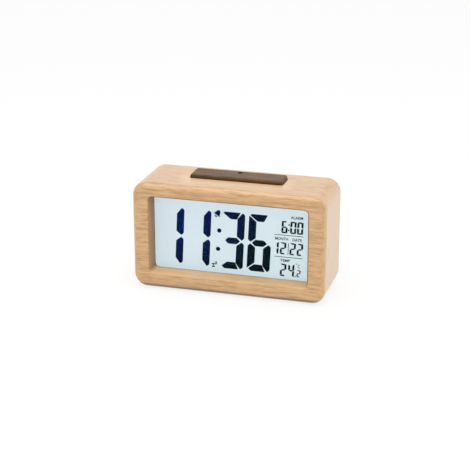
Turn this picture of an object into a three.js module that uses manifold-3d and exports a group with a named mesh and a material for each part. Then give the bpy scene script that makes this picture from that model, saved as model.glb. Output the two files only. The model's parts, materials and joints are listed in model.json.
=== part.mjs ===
// A digital alarm clock: a beech case with a sunk backlit display, a dark wooden snooze bar on top,
// and a plastic rear cover with buttons, a slide switch and a battery bay.
// Millimetres, +Z up. The front faces -Y, and the origin lies on the table under the middle of the case.
import * as THREE from 'three';
import { mergeVertices } from 'three/addons/utils/BufferGeometryUtils.js';
import Module from 'manifold-3d';

const wasm = await Module();
wasm.setup();

// Clearances and facets
const LOOSE_GAP = 0.3;
const LAYER_GAP = 0.1;
const CUT_OVERRUN = 1;
const CORNER_STEPS = 6;
const ROUND_STEPS = 16;
const ROUND_RINGS = 4;
const COIL_STEPS = 8;
const COIL_SIDES = 5;
const SLOPE_STEP = 1e-4;

// Beech case
const CASE_WIDTH = 135;
const CASE_DEPTH = 48;
const CASE_HEIGHT = 75.4;
const CASE_CORNER = 9.5;
const FRONT_ROUND = 4;
const REAR_ROUND = 2.2;
const STILE_WIDTH = 12.2;
const RAIL_HEIGHT = 9.6;
const BOTTOM_RAIL_EXTRA = 1.9;
const RECESS_DEPTH = 12;
const WINDOW_CORNER = 3;
const WINDOW_ROUND = 1.2;
const SHELF_WIDTH = 4.1;
const POCKET_CORNER = 9;
const LEDGE_WIDTH = 2.2;
const LEDGE_CORNER = 5;

// Feet
const FOOT_DIAMETER = 9;
const FOOT_THICKNESS = 1.8;
const FOOT_PROUD = 0.8;
const FOOT_FROM_SIDE = 16;
const FOOT_FROM_FACE = 11;

// Display
const LENS_THICKNESS = 1.5;
const GLASS_THICKNESS = 0.9;
const GUIDE_THICKNESS = 3;
const TRAY_WALL = 1;
const TRAY_FLOOR = 1.5;
const ZEBRA_THICKNESS = 1.2;
const ZEBRA_LENGTH = 96;
const LED_STRIP_THICKNESS = 0.7;
const LED_STRIP_LENGTH = 48;
const LED_SIZE = 2;
const LED_THICKNESS = 0.6;
const LED_COUNT = 4;

// Figures on the display
const SEGMENT_RELIEF = 0.15;
const FIGURE_LEAN = 0.047;
const STROKE_GAP_SHARE = 0.1;
const STROKE_TIP_SHARE = 0.12;
const STROKE_SLOPE_SHARE = 0.55;
const BAR_NOSE_SHARE = 0.5;
const TIME_HEIGHT = 41.2;
const TIME_WIDTH = 16.3;
const TIME_STROKE = 5.3;
const TIME_MIDDLE = -4;
const TIME_CENTRES = [-43.6, -24.3, -0.4, 18.6];
const TIME_FIGURES = '1136';
const COLON_PLACE = -10.3;
const COLON_RISE = 6.8;
const COLON_DIAMETER = 2.8;
const SMALL_HEIGHT = 7.9;
const SMALL_WIDTH = 4.2;
const SMALL_STROKE = 1;
const SMALL_ROWS = [
  { figures: '600', middle: 9.4, centres: [36.1, 42.1, 46.9] },
  { figures: '1222', middle: -5.9, centres: [30, 35.2, 41.9, 46.9] },
  { figures: '24', middle: -21.5, centres: [35.4, 41] },
];
const RULE_LENGTH = 20;
const RULE_WIDTH = 0.4;
const RULE_CENTRE = 39.1;
const RULE_HEIGHTS = [3.6, -12.1];

// Main board
const BOARD_STANDOFF = 1.2;
const BOARD_THICKNESS = 1.6;
const BOARD_FROM_SIDE = 10.5;
const BOARD_FROM_BOTTOM = 5;
const BOARD_SCREW_INSET = 4;
const BLOB_DIAMETER = 13;
const BLOB_HEIGHT = 1.5;
const BLOB_PLACE = [-18, 2];
const CRYSTAL_DIAMETER = 2.2;
const CRYSTAL_LENGTH = 6;
const CRYSTAL_PLACE = [2, 6];
const THERMISTOR_DIAMETER = 3;
const THERMISTOR_LENGTH = 4;
const THERMISTOR_PLACE = [-43, -14];

// Screws
const SCREW_DIAMETER = 2;
const SCREW_HEAD_DIAMETER = 4.2;
const SCREW_HEAD_HEIGHT = 1.2;
const SCREW_CROWN_DIAMETER = 3.2;
const SCREW_SLOT = 0.6;
const COVER_SCREW_LENGTH = 9;
const BOARD_SCREW_BITE = 1.8;
const BRACKET_SCREW_BITE = 3.4;

// Snooze bar and what carries it
const BAR_LENGTH = 65;
const BAR_DEPTH = 17;
const BAR_SETBACK = 20.5;
const BAR_PROUD = 2.5;
const BAR_CORNER = 2;
const BAR_BEVEL = 1.6;
const SNOOZE_TRAVEL = 1;
const CARRIER_PLATE = 1.4;
const CARRIER_FLANGE = 1.8;
const CARRIER_REACH = 3;
const CARRIER_DEPTH = 7.6;
const CARRIER_GAP = 0.8;
const PIN_DIAMETER = 3;
const PIN_SPREAD = 24;
const POST_DIAMETER = 3.2;
const BRACKET_WALL = 1.6;
const BRACKET_FOOT = 6;
const SPRING_LENGTH = 8;
const SPRING_DIAMETER = 5.2;
const SPRING_WIRE = 0.6;
const SPRING_TURNS = 5;
const WINDOW_PIPE_DIAMETER = 3.4;
const WINDOW_PIPE_SETBACK = 12;
const SENSOR_THICKNESS = 1;

// Push switches and their boards
const SWITCH_SIDE = 6;
const SWITCH_HEIGHT = 2.6;
const STEM_ENTRY = 0.5;
const SMALL_BOARD_THICKNESS = 1.2;
const SNOOZE_BOARD_LENGTH = 14;

// Rear cover
const COVER_INSET = 1.5;
const COVER_THICKNESS = 2.4;
const COVER_EDGE = 0.5;
const SPACER_DIAMETER = 6;
const SPACER_FROM_SIDE = 5.2;
const SPACER_FROM_TOP = 9;
const BUZZER_DIAMETER = 19;
const BUZZER_HEIGHT = 4;
const BUZZER_RING = 1.2;
const SOUND_HOLE_DIAMETER = 1.6;
const SOUND_HOLE_COUNT = 6;
const SOUND_HOLE_CIRCLE = 9;
const VENT_LENGTH = 10;
const VENT_WIDTH = 1.2;
const VENT_PITCH = 2.8;
const VENT_COUNT = 4;

// Battery bay, cells and door
const CELL_DIAMETER = 10.5;
const CELL_LENGTH = 44.5;
const CELL_NUB_DIAMETER = 3.8;
const CELL_NUB_HEIGHT = 0.8;
const CELL_EDGE = 0.5;
const CELL_COUNT = 3;
const CELL_SPACING = 0.6;
const CONTACT_THICKNESS = 0.4;
const CONTACT_HEIGHT = 9;
const TAIL_WIDTH = 2.4;
const TAIL_REACH = 1.6;
const CELL_SPRING_LENGTH = 4.2;
const CELL_SPRING_BASE = 6.4;
const CELL_SPRING_TIP = 4;
const CELL_SPRING_TURNS = 3.5;
const BAY_WALL = 1.5;
const BAY_RIB = 1.2;
const BAY_RIB_HEIGHT = 1.6;
const DOOR_THICKNESS = 1.5;
const DOOR_BESIDE = 3;
const DOOR_ABOVE = 2.6;
const DOOR_BELOW = 6.8;
const DOOR_CORNER = 1.5;
const TAB_WIDTH = 8;
const TAB_SPREAD = 17;
const TAB_THICKNESS = 1.2;
const TAB_REACH = 1.5;
const TAB_ROOT = 2.5;
const TAB_ROOT_INSET = 0.5;
const TONGUE_WIDTH = 10;
const TONGUE_LENGTH = 9;
const TONGUE_SLIT = 0.8;
const GRIP_RIB = 0.8;
const GRIP_RIB_PROUD = 0.4;
const GRIP_RIB_COUNT = 3;
const GRIP_RIB_PITCH = 2;

// Rear controls
const BUTTON_NAMES = ['mode', 'set', 'up', 'down'];
const BUTTON_DIAMETER = 7;
const BUTTON_PROUD = 1;
const BUTTON_EDGE = 0.5;
const BUTTON_TRAVEL = 0.8;
const BUTTON_FLANGE_DIAMETER = 9;
const BUTTON_FLANGE = 1;
const BUTTON_PITCH = 12;
const BUTTON_FIRST = -30;
const BUTTON_ROW_GAP = 2;
const KNOB_PLACE = 26;
const KNOB_LENGTH = 4;
const KNOB_WIDTH = 3;
const KNOB_PROUD = 0.8;
const KNOB_STEM = 2;
const KNOB_TRAVEL = 3;
const KNOB_RECESS = 1;
const SLIDE_SWITCH_LENGTH = 10;
const SLIDE_SWITCH_WIDTH = 5;
const KEY_BOARD_MARGIN = 2;
const KEY_BOARD_HEIGHT = 9;
const STAKE_DIAMETER = 4;
const STAKE_PIN = 2;
const STAKE_GAP = 1;

// Leads
const LEAD_DIAMETER = 1.4;
const LEAD_RUN = 3;
const LEAD_DIP = 1;
const LEAD_SWING = 5;
const LEAD_DROP = 2;
const CABLE_DIAMETER = 2.2;
const CABLE_GAP = 1.2;
const CABLE_RUN = 2.2;
const CABLE_SAG = 2;
const LEAD_SIDES = 8;
const LEAD_STEPS = 14;

// Places worked out from the driving sizes. Depth is measured back from the front face,
// and height from the middle of the window.
const halfWidth = CASE_WIDTH / 2;
const halfHeight = (CASE_HEIGHT - BOTTOM_RAIL_EXTRA) / 2;
const caseBottom = -halfHeight - BOTTOM_RAIL_EXTRA;
const window = { x: halfWidth - STILE_WIDTH, z: halfHeight - RAIL_HEIGHT };
const pocket = { x: window.x + SHELF_WIDTH, z: window.z + SHELF_WIDTH };
const ledge = { x: pocket.x + LEDGE_WIDTH, z: pocket.z + LEDGE_WIDTH };
const coverOuter = CASE_DEPTH - COVER_INSET;
const coverInner = coverOuter - COVER_THICKNESS;

const lensFront = RECESS_DEPTH + LAYER_GAP;
const lensBack = lensFront + LENS_THICKNESS;
const frontGlass = lensBack + LAYER_GAP;
const rearGlass = frontGlass + GLASS_THICKNESS + LOOSE_GAP;
const guideFront = rearGlass + GLASS_THICKNESS + LAYER_GAP;
const trayFloor = guideFront + GUIDE_THICKNESS + LAYER_GAP;
const trayBack = trayFloor + TRAY_FLOOR;
const boardFront = trayBack + BOARD_STANDOFF + LAYER_GAP;
const boardBack = boardFront + BOARD_THICKNESS;
const tray = { x: pocket.x - LOOSE_GAP, z: pocket.z - LOOSE_GAP };
const glass = { x: tray.x - TRAY_WALL - LOOSE_GAP, z: tray.z - TRAY_WALL - LOOSE_GAP };
const glassCorner = POCKET_CORNER - 2 * LOOSE_GAP - TRAY_WALL;
const zebraTop = glass.z - cornerDepth(ZEBRA_LENGTH / 2, glass.x);
const zebraBottom = zebraTop - ZEBRA_THICKNESS;
const innerGlassTop = zebraBottom - LOOSE_GAP;

// How far a round corner of the tray comes in at a place along one of its sides
function cornerDepth(place, halfSide) {
  const pastStart = Math.max(0, place - (halfSide - glassCorner));
  return glassCorner - Math.sqrt(glassCorner ** 2 - pastStart ** 2);
}

const board = { x: pocket.x - BOARD_FROM_SIDE, top: tray.z, bottom: BOARD_FROM_BOTTOM - pocket.z };
const boardFixings = [
  { x: BOARD_SCREW_INSET - board.x, z: board.bottom + BOARD_SCREW_INSET },
  { x: board.x - BOARD_SCREW_INSET, z: board.bottom + BOARD_SCREW_INSET },
];
const boardPegs = [
  { x: BOARD_SCREW_INSET - board.x, z: zebraBottom - BOARD_SCREW_INSET },
  { x: board.x - BOARD_SCREW_INSET, z: zebraBottom - BOARD_SCREW_INSET },
];

const carrierFront = boardBack + CARRIER_GAP;
const carrierBack = carrierFront + CARRIER_DEPTH;
const carrierMiddle = (carrierFront + carrierBack) / 2;
const plateBottom = pocket.z + SNOOZE_TRAVEL + LAYER_GAP;
const barBottom = plateBottom + CARRIER_PLATE + LAYER_GAP;
const barTop = halfHeight + BAR_PROUD;
const barMiddle = BAR_SETBACK + BAR_DEPTH / 2;
const flangeTop = pocket.z - LOOSE_GAP;
const flangeBottom = flangeTop - CARRIER_FLANGE;
const flangeHalf = BAR_LENGTH / 2 + CARRIER_REACH;
const bracketFloor = flangeBottom - SPRING_LENGTH - 2 * LAYER_GAP;
const bracketTop = pocket.z - LAYER_GAP;
const legInner = flangeHalf + 4 * LOOSE_GAP;
const legOuter = legInner + BRACKET_WALL;
const bracketScrew = legOuter + BRACKET_FOOT / 2;
const cablePlace = legOuter + CABLE_GAP + CABLE_DIAMETER / 2;

const doorInner = coverOuter - DOOR_THICKNESS;
const cellBack = doorInner - LOOSE_GAP;
const cellMiddle = cellBack - CELL_DIAMETER / 2;
const bayFloor = cellBack - CELL_DIAMETER - LOOSE_GAP;
const bayOuter = bayFloor - BAY_WALL;
const cellPitch = CELL_DIAMETER + CELL_SPACING;
const cellShift = (CELL_SPRING_LENGTH + LAYER_GAP) / 2;
const bay = {
  x: CELL_LENGTH / 2 + cellShift + CONTACT_THICKNESS + 2 * LAYER_GAP,
  z: (CELL_COUNT * cellPitch) / 2,
};
const doorHeight = 2 * bay.z + DOOR_ABOVE + DOOR_BELOW;
const door = { x: bay.x + DOOR_BESIDE, z: doorHeight / 2 };
const cover = { x: ledge.x - LOOSE_GAP, z: ledge.z - LOOSE_GAP };
const rearMargin = (2 * cover.z - doorHeight - BUTTON_ROW_GAP - BUTTON_DIAMETER) / 2;
const doorBottom = rearMargin - cover.z;
const doorMiddle = doorBottom + door.z;
const bayMiddle = doorBottom + DOOR_BELOW + bay.z;
const buttonHeight = cover.z - rearMargin - BUTTON_DIAMETER / 2;
const sideMiddle = (door.x + cover.x) / 2;

const buttonFlangeBack = coverInner - LOOSE_GAP;
const switchTop = buttonFlangeBack - BUTTON_FLANGE - BUTTON_TRAVEL - LOOSE_GAP;
const keyBoardBack = switchTop - SWITCH_HEIGHT;
const keyBoardFront = keyBoardBack - SMALL_BOARD_THICKNESS;
const buttonPlaces = BUTTON_NAMES.map((name, i) => BUTTON_FIRST + i * BUTTON_PITCH);
const stakeReach = (BUTTON_FLANGE_DIAMETER + STAKE_DIAMETER) / 2 + STAKE_GAP;
const stakePlaces = [buttonPlaces[0] - stakeReach, buttonPlaces.at(-1) + stakeReach];

// Rear cover screws sit half way across the ledge's corners, on the corners' diagonals.
const diagonal = Math.SQRT1_2;
const screwPlace = {
  x: (pocket.x - POCKET_CORNER * (1 - diagonal) + ledge.x - LEDGE_CORNER * (1 - diagonal)) / 2,
  z: (pocket.z - POCKET_CORNER * (1 - diagonal) + ledge.z - LEDGE_CORNER * (1 - diagonal)) / 2,
};
const corners = [[-1, -1], [1, -1], [1, 1], [-1, 1]];
const footBottom = caseBottom - FOOT_PROUD;
const footTop = footBottom + FOOT_THICKNESS;

// Finishes
function finish(color, roughness, metalness = 0) {
  return new THREE.MeshStandardMaterial({ color, roughness, metalness });
}

const beech = finish(0xd0a577, 0.6);
const darkWood = finish(0x6f5640, 0.55);
const clearPlastic = finish(0xe8eef0, 0.1);
const displayGlass = finish(0xd5e0e6, 0.15);
const whitePlastic = finish(0xf0f0ec, 0.5);
const coverPlastic = finish(0x3d3029, 0.6);
const buttonPlastic = finish(0x241d19, 0.5);
const greenBoard = finish(0x2c6a45, 0.5);
const blackResin = finish(0x1b1b1d, 0.6);
const steel = finish(0xb9bcc0, 0.35, 1);
const brass = finish(0xc8a860, 0.35, 1);
const rubber = finish(0x2a2a2b, 0.9);
const cellJacket = finish(0x7a868c, 0.4);
const redSleeve = finish(0xa02a22, 0.5);
const blackSleeve = finish(0x202022, 0.5);
const greySleeve = finish(0x8d9296, 0.5);

// Solids
function solid(geometry) {
  geometry.deleteAttribute('normal');
  geometry.deleteAttribute('uv');
  const merged = mergeVertices(geometry);
  const vertProperties = merged.attributes.position.array;
  const triVerts = new Uint32Array(merged.index.array);
  return new wasm.Manifold(new wasm.Mesh({ numProp: 3, vertProperties, triVerts }));
}

function join(...solids) {
  return solids.reduce((whole, next) => whole.add(next));
}

function cut(body, ...tools) {
  return tools.reduce((rest, tool) => rest.subtract(tool), body);
}

function mesh(name, body, material) {
  const { vertProperties, triVerts } = body.getMesh();
  const geometry = new THREE.BufferGeometry();
  geometry.setAttribute('position', new THREE.BufferAttribute(vertProperties, 3));
  geometry.setIndex(new THREE.BufferAttribute(triVerts, 1));
  const faceted = geometry.toNonIndexed();
  faceted.computeVertexNormals();
  const piece = new THREE.Mesh(faceted, material);
  piece.name = name;
  return piece;
}

// A rectangle with round corners, anticlockwise seen from the front
function outline(halfX, halfZ, corner) {
  const points = [];
  for (let quarter = 0; quarter < 4; quarter++) {
    const centreX = (quarter % 3 === 0 ? 1 : -1) * (halfX - corner);
    const centreZ = (quarter < 2 ? 1 : -1) * (halfZ - corner);
    for (let step = 0; step <= CORNER_STEPS; step++) {
      const angle = ((quarter + step / CORNER_STEPS) * Math.PI) / 2;
      points.push([centreX + corner * Math.cos(angle), centreZ + corner * Math.sin(angle)]);
    }
  }
  return points;
}

// A closed skin over rounded rectangles that stand one behind the other
function loft(stations, x = 0, z = 0) {
  const rings = stations.map((station) => outline(station.x, station.z, station.corner));
  const count = rings[0].length;
  const positions = rings.flatMap((ring, i) =>
    ring.flatMap(([u, v]) => [x + u, stations[i].depth, z + v]));
  const index = [];
  for (let i = 0; i + 1 < rings.length; i++) {
    for (let j = 0; j < count; j++) {
      const a = i * count + j;
      const b = i * count + ((j + 1) % count);
      index.push(a, a + count, b + count, a, b + count, b);
    }
  }
  const last = (rings.length - 1) * count;
  for (let j = 1; j + 1 < count; j++) {
    index.push(0, j, j + 1, last, last + j + 1, last + j);
  }
  const geometry = new THREE.BufferGeometry();
  geometry.setAttribute('position', new THREE.Float32BufferAttribute(positions, 3));
  geometry.setIndex(index);
  return solid(geometry);
}

// An upright plate with round corners, from one depth to another
function plate(half, corner, front, back, x = 0, z = 0) {
  return loft([{ depth: front, ...half, corner }, { depth: back, ...half, corner }], x, z);
}

function box(x0, x1, y0, y1, z0, z1) {
  const geometry = new THREE.BoxGeometry(x1 - x0, y1 - y0, z1 - z0);
  geometry.translate((x0 + x1) / 2, (y0 + y1) / 2, (z0 + z1) / 2);
  return solid(geometry);
}

// A round bar that runs front to back
function rod(diameter, front, back, x, z) {
  const geometry = new THREE.CylinderGeometry(diameter / 2, diameter / 2, back - front, ROUND_STEPS);
  geometry.translate(x, (front + back) / 2, z);
  return solid(geometry);
}

// A round bar that runs up and down
function post(diameter, bottom, top, x, y) {
  const geometry = new THREE.CylinderGeometry(diameter / 2, diameter / 2, top - bottom, ROUND_STEPS);
  geometry.rotateX(Math.PI / 2);
  geometry.translate(x, y, (bottom + top) / 2);
  return solid(geometry);
}

// A turned piece: its profile is [radius, place along the axis], from the axis and back to it
function turned(profile) {
  const points = profile.map(([radius, place]) => new THREE.Vector2(radius, place));
  return new THREE.LatheGeometry(points, ROUND_STEPS);
}

// A tube along a curve, with flat ends
function tube(path, diameter, sides, steps) {
  const section = new THREE.Shape();
  for (let side = 0; side < sides; side++) {
    const angle = (side / sides) * 2 * Math.PI;
    section[side ? 'lineTo' : 'moveTo']((diameter / 2) * Math.cos(angle), (diameter / 2) * Math.sin(angle));
  }
  section.closePath();
  return solid(new THREE.ExtrudeGeometry(section, { steps, extrudePath: path, bevelEnabled: false }));
}

function lead(name, points, diameter, material) {
  const path = new THREE.CatmullRomCurve3(points.map((point) => new THREE.Vector3(...point)));
  return mesh(name, tube(path, diameter, LEAD_SIDES, LEAD_STEPS), material);
}

// A wire coil that climbs along Z, wound on a cylinder or a cone, with ends that run straight
class Coil extends THREE.Curve {
  constructor(baseDiameter, tipDiameter, length, turns, wire) {
    super();
    this.base = (baseDiameter - wire) / 2;
    this.tip = (tipDiameter - wire) / 2;
    this.rise = length - wire;
    this.lift = wire / 2;
    this.turns = turns;
    this.straight = wire / (2 * Math.PI * this.base * turns);
  }

  wound(t, target) {
    const radius = this.base + (this.tip - this.base) * t;
    const angle = 2 * Math.PI * this.turns * t;
    return target.set(radius * Math.cos(angle), radius * Math.sin(angle), this.lift + this.rise * t);
  }

  getPoint(t, target = new THREE.Vector3()) {
    const low = this.straight;
    const high = 1 - this.straight;
    if (t >= low && t <= high) return this.wound(t, target);
    const edge = t < low ? low : high;
    const ahead = this.wound(edge + SLOPE_STEP, new THREE.Vector3());
    const behind = this.wound(edge - SLOPE_STEP, new THREE.Vector3());
    const slope = ahead.sub(behind).multiplyScalar((t - edge) / (2 * SLOPE_STEP));
    return this.wound(edge, target).add(slope);
  }
}

// The least clear space between one turn of a coil and the next
function coilGap(coil, wire) {
  const perTurn = 24;
  const points = coil.getPoints(Math.round(coil.turns * perTurn));
  let least = Infinity;
  points.forEach((a, i) => {
    points.slice(i + perTurn / 2).forEach((b) => {
      least = Math.min(least, a.distanceTo(b) - wire);
    });
  });
  return least;
}

function spring(name, baseDiameter, tipDiameter, length, turns) {
  const coil = new Coil(baseDiameter, tipDiameter, length, turns, SPRING_WIRE);
  console.log(`${name}: least gap between turns ${coilGap(coil, SPRING_WIRE).toFixed(2)} mm`);
  return mesh(name, tube(coil, SPRING_WIRE, COIL_SIDES, Math.round(turns * COIL_STEPS)), steel);
}

// A pan-head screw whose head lies before its seat at the origin and whose shank runs along +Y
function screw(name, shank) {
  const head = SCREW_HEAD_DIAMETER / 2;
  const profile = [
    [0, -SCREW_HEAD_HEIGHT], [SCREW_CROWN_DIAMETER / 2, -SCREW_HEAD_HEIGHT], [head, -SCREW_HEAD_HEIGHT / 2],
    [head, 0], [SCREW_DIAMETER / 2, 0], [SCREW_DIAMETER / 2, shank - SCREW_DIAMETER / 2], [0, shank]];
  const slot = box(
    -head, head, -SCREW_HEAD_HEIGHT - CUT_OVERRUN, -SCREW_HEAD_HEIGHT / 2, -SCREW_SLOT / 2, SCREW_SLOT / 2);
  return mesh(name, cut(solid(turned(profile)), slot), steel);
}

function placed(piece, x, y, z, turnX = 0) {
  piece.position.set(x, y, z);
  piece.rotation.x = turnX;
  return piece;
}

// Beech case: outer block, window, rear pocket, ledge for the cover, bar slot and screw holes
function beechCase() {
  const block = [];
  for (let ring = 0; ring <= ROUND_RINGS; ring++) {
    const angle = (ring / ROUND_RINGS) * (Math.PI / 2);
    block.push({ depth: FRONT_ROUND * (1 - Math.cos(angle)), inset: FRONT_ROUND * (1 - Math.sin(angle)) });
  }
  for (let ring = ROUND_RINGS; ring >= 0; ring--) {
    const angle = (ring / ROUND_RINGS) * (Math.PI / 2);
    const depth = CASE_DEPTH - REAR_ROUND * (1 - Math.cos(angle));
    block.push({ depth, inset: REAR_ROUND * (1 - Math.sin(angle)) });
  }
  const outer = loft(block.map(({ depth, inset }) => (
    { depth, x: halfWidth - inset, z: CASE_HEIGHT / 2 - inset, corner: CASE_CORNER - inset })),
  0, -BOTTOM_RAIL_EXTRA / 2);

  const mouth = [{ depth: -CUT_OVERRUN, flare: WINDOW_ROUND }];
  for (let ring = 0; ring <= ROUND_RINGS; ring++) {
    const angle = (ring / ROUND_RINGS) * (Math.PI / 2);
    const flare = WINDOW_ROUND * (1 - Math.sin(angle));
    mouth.push({ depth: WINDOW_ROUND * (1 - Math.cos(angle)), flare });
  }
  mouth.push({ depth: RECESS_DEPTH + CUT_OVERRUN, flare: 0 });
  const opening = loft(mouth.map(({ depth, flare }) => (
    { depth, x: window.x + flare, z: window.z + flare, corner: WINDOW_CORNER + flare })));

  const rear = CASE_DEPTH + CUT_OVERRUN;
  const hollow = plate(pocket, POCKET_CORNER, RECESS_DEPTH, rear);
  const seat = plate(ledge, LEDGE_CORNER, coverInner, rear);

  const slot = upright(plate(
    { x: BAR_LENGTH / 2 + LOOSE_GAP, z: BAR_DEPTH / 2 + LOOSE_GAP }, BAR_CORNER + LOOSE_GAP,
    pocket.z - CUT_OVERRUN, halfHeight + CUT_OVERRUN), barMiddle);

  const pilot = SCREW_DIAMETER + 2 * LAYER_GAP;
  const coverPilots = corners.map(([sideX, sideZ]) => rod(
    pilot, coverInner - COVER_SCREW_LENGTH, coverInner + CUT_OVERRUN,
    sideX * screwPlace.x, sideZ * screwPlace.z));
  const bracketPilots = [-1, 1].map((side) => post(
    pilot, pocket.z - CUT_OVERRUN, pocket.z + BRACKET_SCREW_BITE + LOOSE_GAP,
    side * bracketScrew, carrierMiddle));
  const footSeats = footPlaces().map(([x, y]) => post(
    FOOT_DIAMETER + 2 * LAYER_GAP, caseBottom - CUT_OVERRUN, footTop, x, y));
  return mesh('wooden_case', cut(
    outer, opening, hollow, seat, slot, ...coverPilots, ...bracketPilots, ...footSeats), beech);
}

function footPlaces() {
  return corners.map(([sideX, sideY]) => [
    sideX * (halfWidth - FOOT_FROM_SIDE),
    CASE_DEPTH / 2 + sideY * (CASE_DEPTH / 2 - FOOT_FROM_FACE),
  ]);
}

function feet() {
  return footPlaces().map(([x, y], i) => mesh(
    `foot_${i + 1}`, post(FOOT_DIAMETER, footBottom, footTop, x, y), rubber));
}

// Seven-segment figures: which strokes each figure lights
const LIT = { 0: 'abcdef', 1: 'bc', 2: 'abged', 3: 'abgcd', 4: 'fgbc', 6: 'afgedc' };

// The strokes of one figure in a box of its width and height, from its lower left corner
function strokes(width, height, stroke) {
  const gap = stroke * STROKE_GAP_SHARE;
  const tip = stroke * STROKE_TIP_SHARE;
  const nose = stroke * BAR_NOSE_SHARE;
  const middle = height / 2;
  const inner = width - stroke;
  const right = [
    [width, height - gap], [inner, height - gap - stroke], [inner, middle + stroke * STROKE_SLOPE_SHARE],
    [width - tip, middle + gap], [width, middle + gap + tip]];
  const top = [
    [gap, height], [stroke + gap, height - stroke],
    [inner - gap, height - stroke], [width - gap, height]];
  const bar = [
    [nose, middle], [stroke + gap, middle - stroke / 2], [inner - gap, middle - stroke / 2],
    [width - nose, middle], [inner - gap, middle + stroke / 2], [stroke + gap, middle + stroke / 2]];
  const flipX = (points) => points.map(([x, z]) => [width - x, z]);
  const flipZ = (points) => points.map(([x, z]) => [x, height - z]);
  return {
    a: top, b: right, c: flipZ(right), d: flipZ(top), e: flipX(flipZ(right)), f: flipX(right), g: bar,
  };
}

// A thin pad standing on the front of the rear glass
function pad(points) {
  const shape = new THREE.Shape(points.map(([x, z]) => new THREE.Vector2(x, z)));
  const geometry = new THREE.ExtrudeGeometry(shape, { depth: 2 * SEGMENT_RELIEF, bevelEnabled: false });
  geometry.rotateX(Math.PI / 2);
  geometry.translate(0, rearGlass + SEGMENT_RELIEF, 0);
  return solid(geometry);
}

function figurePads(figures, centres, middle, width, height, stroke) {
  return [...figures].flatMap((figure, i) => {
    const parts = strokes(width, height, stroke);
    return [...LIT[figure]].map((key) => pad(parts[key].map(([x, z]) => {
      const rise = z - height / 2;
      return [centres[i] - width / 2 + x + rise * FIGURE_LEAN, middle + rise];
    })));
  });
}

function displayPads() {
  const time = figurePads(TIME_FIGURES, TIME_CENTRES, TIME_MIDDLE, TIME_WIDTH, TIME_HEIGHT, TIME_STROKE);
  const small = SMALL_ROWS.flatMap(({ figures, middle, centres }) => figurePads(
    figures, centres, middle, SMALL_WIDTH, SMALL_HEIGHT, SMALL_STROKE));
  const colon = [-1, 1].map((side) => rod(
    COLON_DIAMETER, rearGlass - SEGMENT_RELIEF, rearGlass + SEGMENT_RELIEF,
    COLON_PLACE, TIME_MIDDLE + side * COLON_RISE));
  const rules = RULE_HEIGHTS.map((height) => box(
    RULE_CENTRE - RULE_LENGTH / 2, RULE_CENTRE + RULE_LENGTH / 2,
    rearGlass - SEGMENT_RELIEF, rearGlass + SEGMENT_RELIEF,
    height - RULE_WIDTH / 2, height + RULE_WIDTH / 2));
  return [...time, ...small, ...colon, ...rules];
}

// Display: lens, two glasses, light guide with its lamp strip, tray and contact strip
function display() {
  const lens = plate(
    { x: pocket.x - LOOSE_GAP, z: pocket.z - LOOSE_GAP }, POCKET_CORNER - LOOSE_GAP, lensFront, lensBack);
  const frontPane = plate(glass, glassCorner, frontGlass, frontGlass + GLASS_THICKNESS);

  const lowered = { x: glass.x, z: (innerGlassTop + glass.z) / 2 };
  const loweredMiddle = (innerGlassTop - glass.z) / 2;
  const rearPane = join(
    plate(lowered, glassCorner, rearGlass, rearGlass + GLASS_THICKNESS, 0, loweredMiddle),
    ...displayPads());

  const halfStrip = LED_STRIP_LENGTH / 2;
  const stripLeft = cornerDepth(halfStrip, glass.z) - glass.x;
  const stripRight = stripLeft + LED_STRIP_THICKNESS;
  const guideLeft = stripRight + LED_THICKNESS + LOOSE_GAP;
  const guide = plate(
    { x: (glass.x - guideLeft) / 2, z: lowered.z }, glassCorner,
    guideFront, guideFront + GUIDE_THICKNESS, (glass.x + guideLeft) / 2, loweredMiddle);
  const lamps = Array.from({ length: LED_COUNT }, (unused, i) => {
    const middle = ((i + 0.5) / LED_COUNT - 0.5) * LED_STRIP_LENGTH;
    return box(
      stripRight - LAYER_GAP, stripRight + LED_THICKNESS,
      guideFront + LOOSE_GAP, guideFront + LOOSE_GAP + LED_SIZE,
      middle - LED_SIZE / 2, middle + LED_SIZE / 2);
  });
  const strip = join(
    box(stripLeft, stripRight, guideFront, guideFront + GUIDE_THICKNESS, -halfStrip, halfStrip), ...lamps);

  const rim = frontGlass;
  const shell = plate(tray, POCKET_CORNER - LOOSE_GAP, rim, trayBack);
  const inner = { x: tray.x - TRAY_WALL, z: tray.z - TRAY_WALL };
  const hollow = plate(inner, POCKET_CORNER - LOOSE_GAP - TRAY_WALL, rim - CUT_OVERRUN, trayFloor);
  const halfZebra = ZEBRA_LENGTH / 2;
  const zebraSlot = box(
    -halfZebra - LOOSE_GAP, halfZebra + LOOSE_GAP, trayFloor - CUT_OVERRUN, trayBack + CUT_OVERRUN,
    zebraBottom - LAYER_GAP, zebraTop + LAYER_GAP);
  const bosses = [...boardFixings, ...boardPegs].map(({ x, z }) => rod(
    SCREW_HEAD_DIAMETER, trayFloor + LAYER_GAP, trayBack + BOARD_STANDOFF, x, z));
  const pegs = boardPegs.map(({ x, z }) => rod(SCREW_DIAMETER, trayBack, boardBack + LOOSE_GAP, x, z));
  const pilots = boardFixings.map(({ x, z }) => rod(
    SCREW_DIAMETER + 2 * LAYER_GAP, boardFront - BOARD_SCREW_BITE - LOOSE_GAP, boardBack, x, z));
  const holder = cut(join(cut(shell, hollow, zebraSlot), ...bosses, ...pegs), ...pilots);

  const zebra = box(
    -halfZebra, halfZebra, frontGlass + GLASS_THICKNESS + LAYER_GAP, boardFront - LAYER_GAP,
    zebraBottom, zebraTop);
  return [
    mesh('display_lens', lens, clearPlastic),
    mesh('lcd_front_glass', frontPane, displayGlass),
    mesh('lcd_rear_glass', rearPane, displayGlass),
    mesh('backlight_guide', guide, clearPlastic),
    mesh('led_strip', strip, whitePlastic),
    mesh('lcd_tray', holder, whitePlastic),
    mesh('zebra_strip', zebra, rubber),
  ];
}

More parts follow.
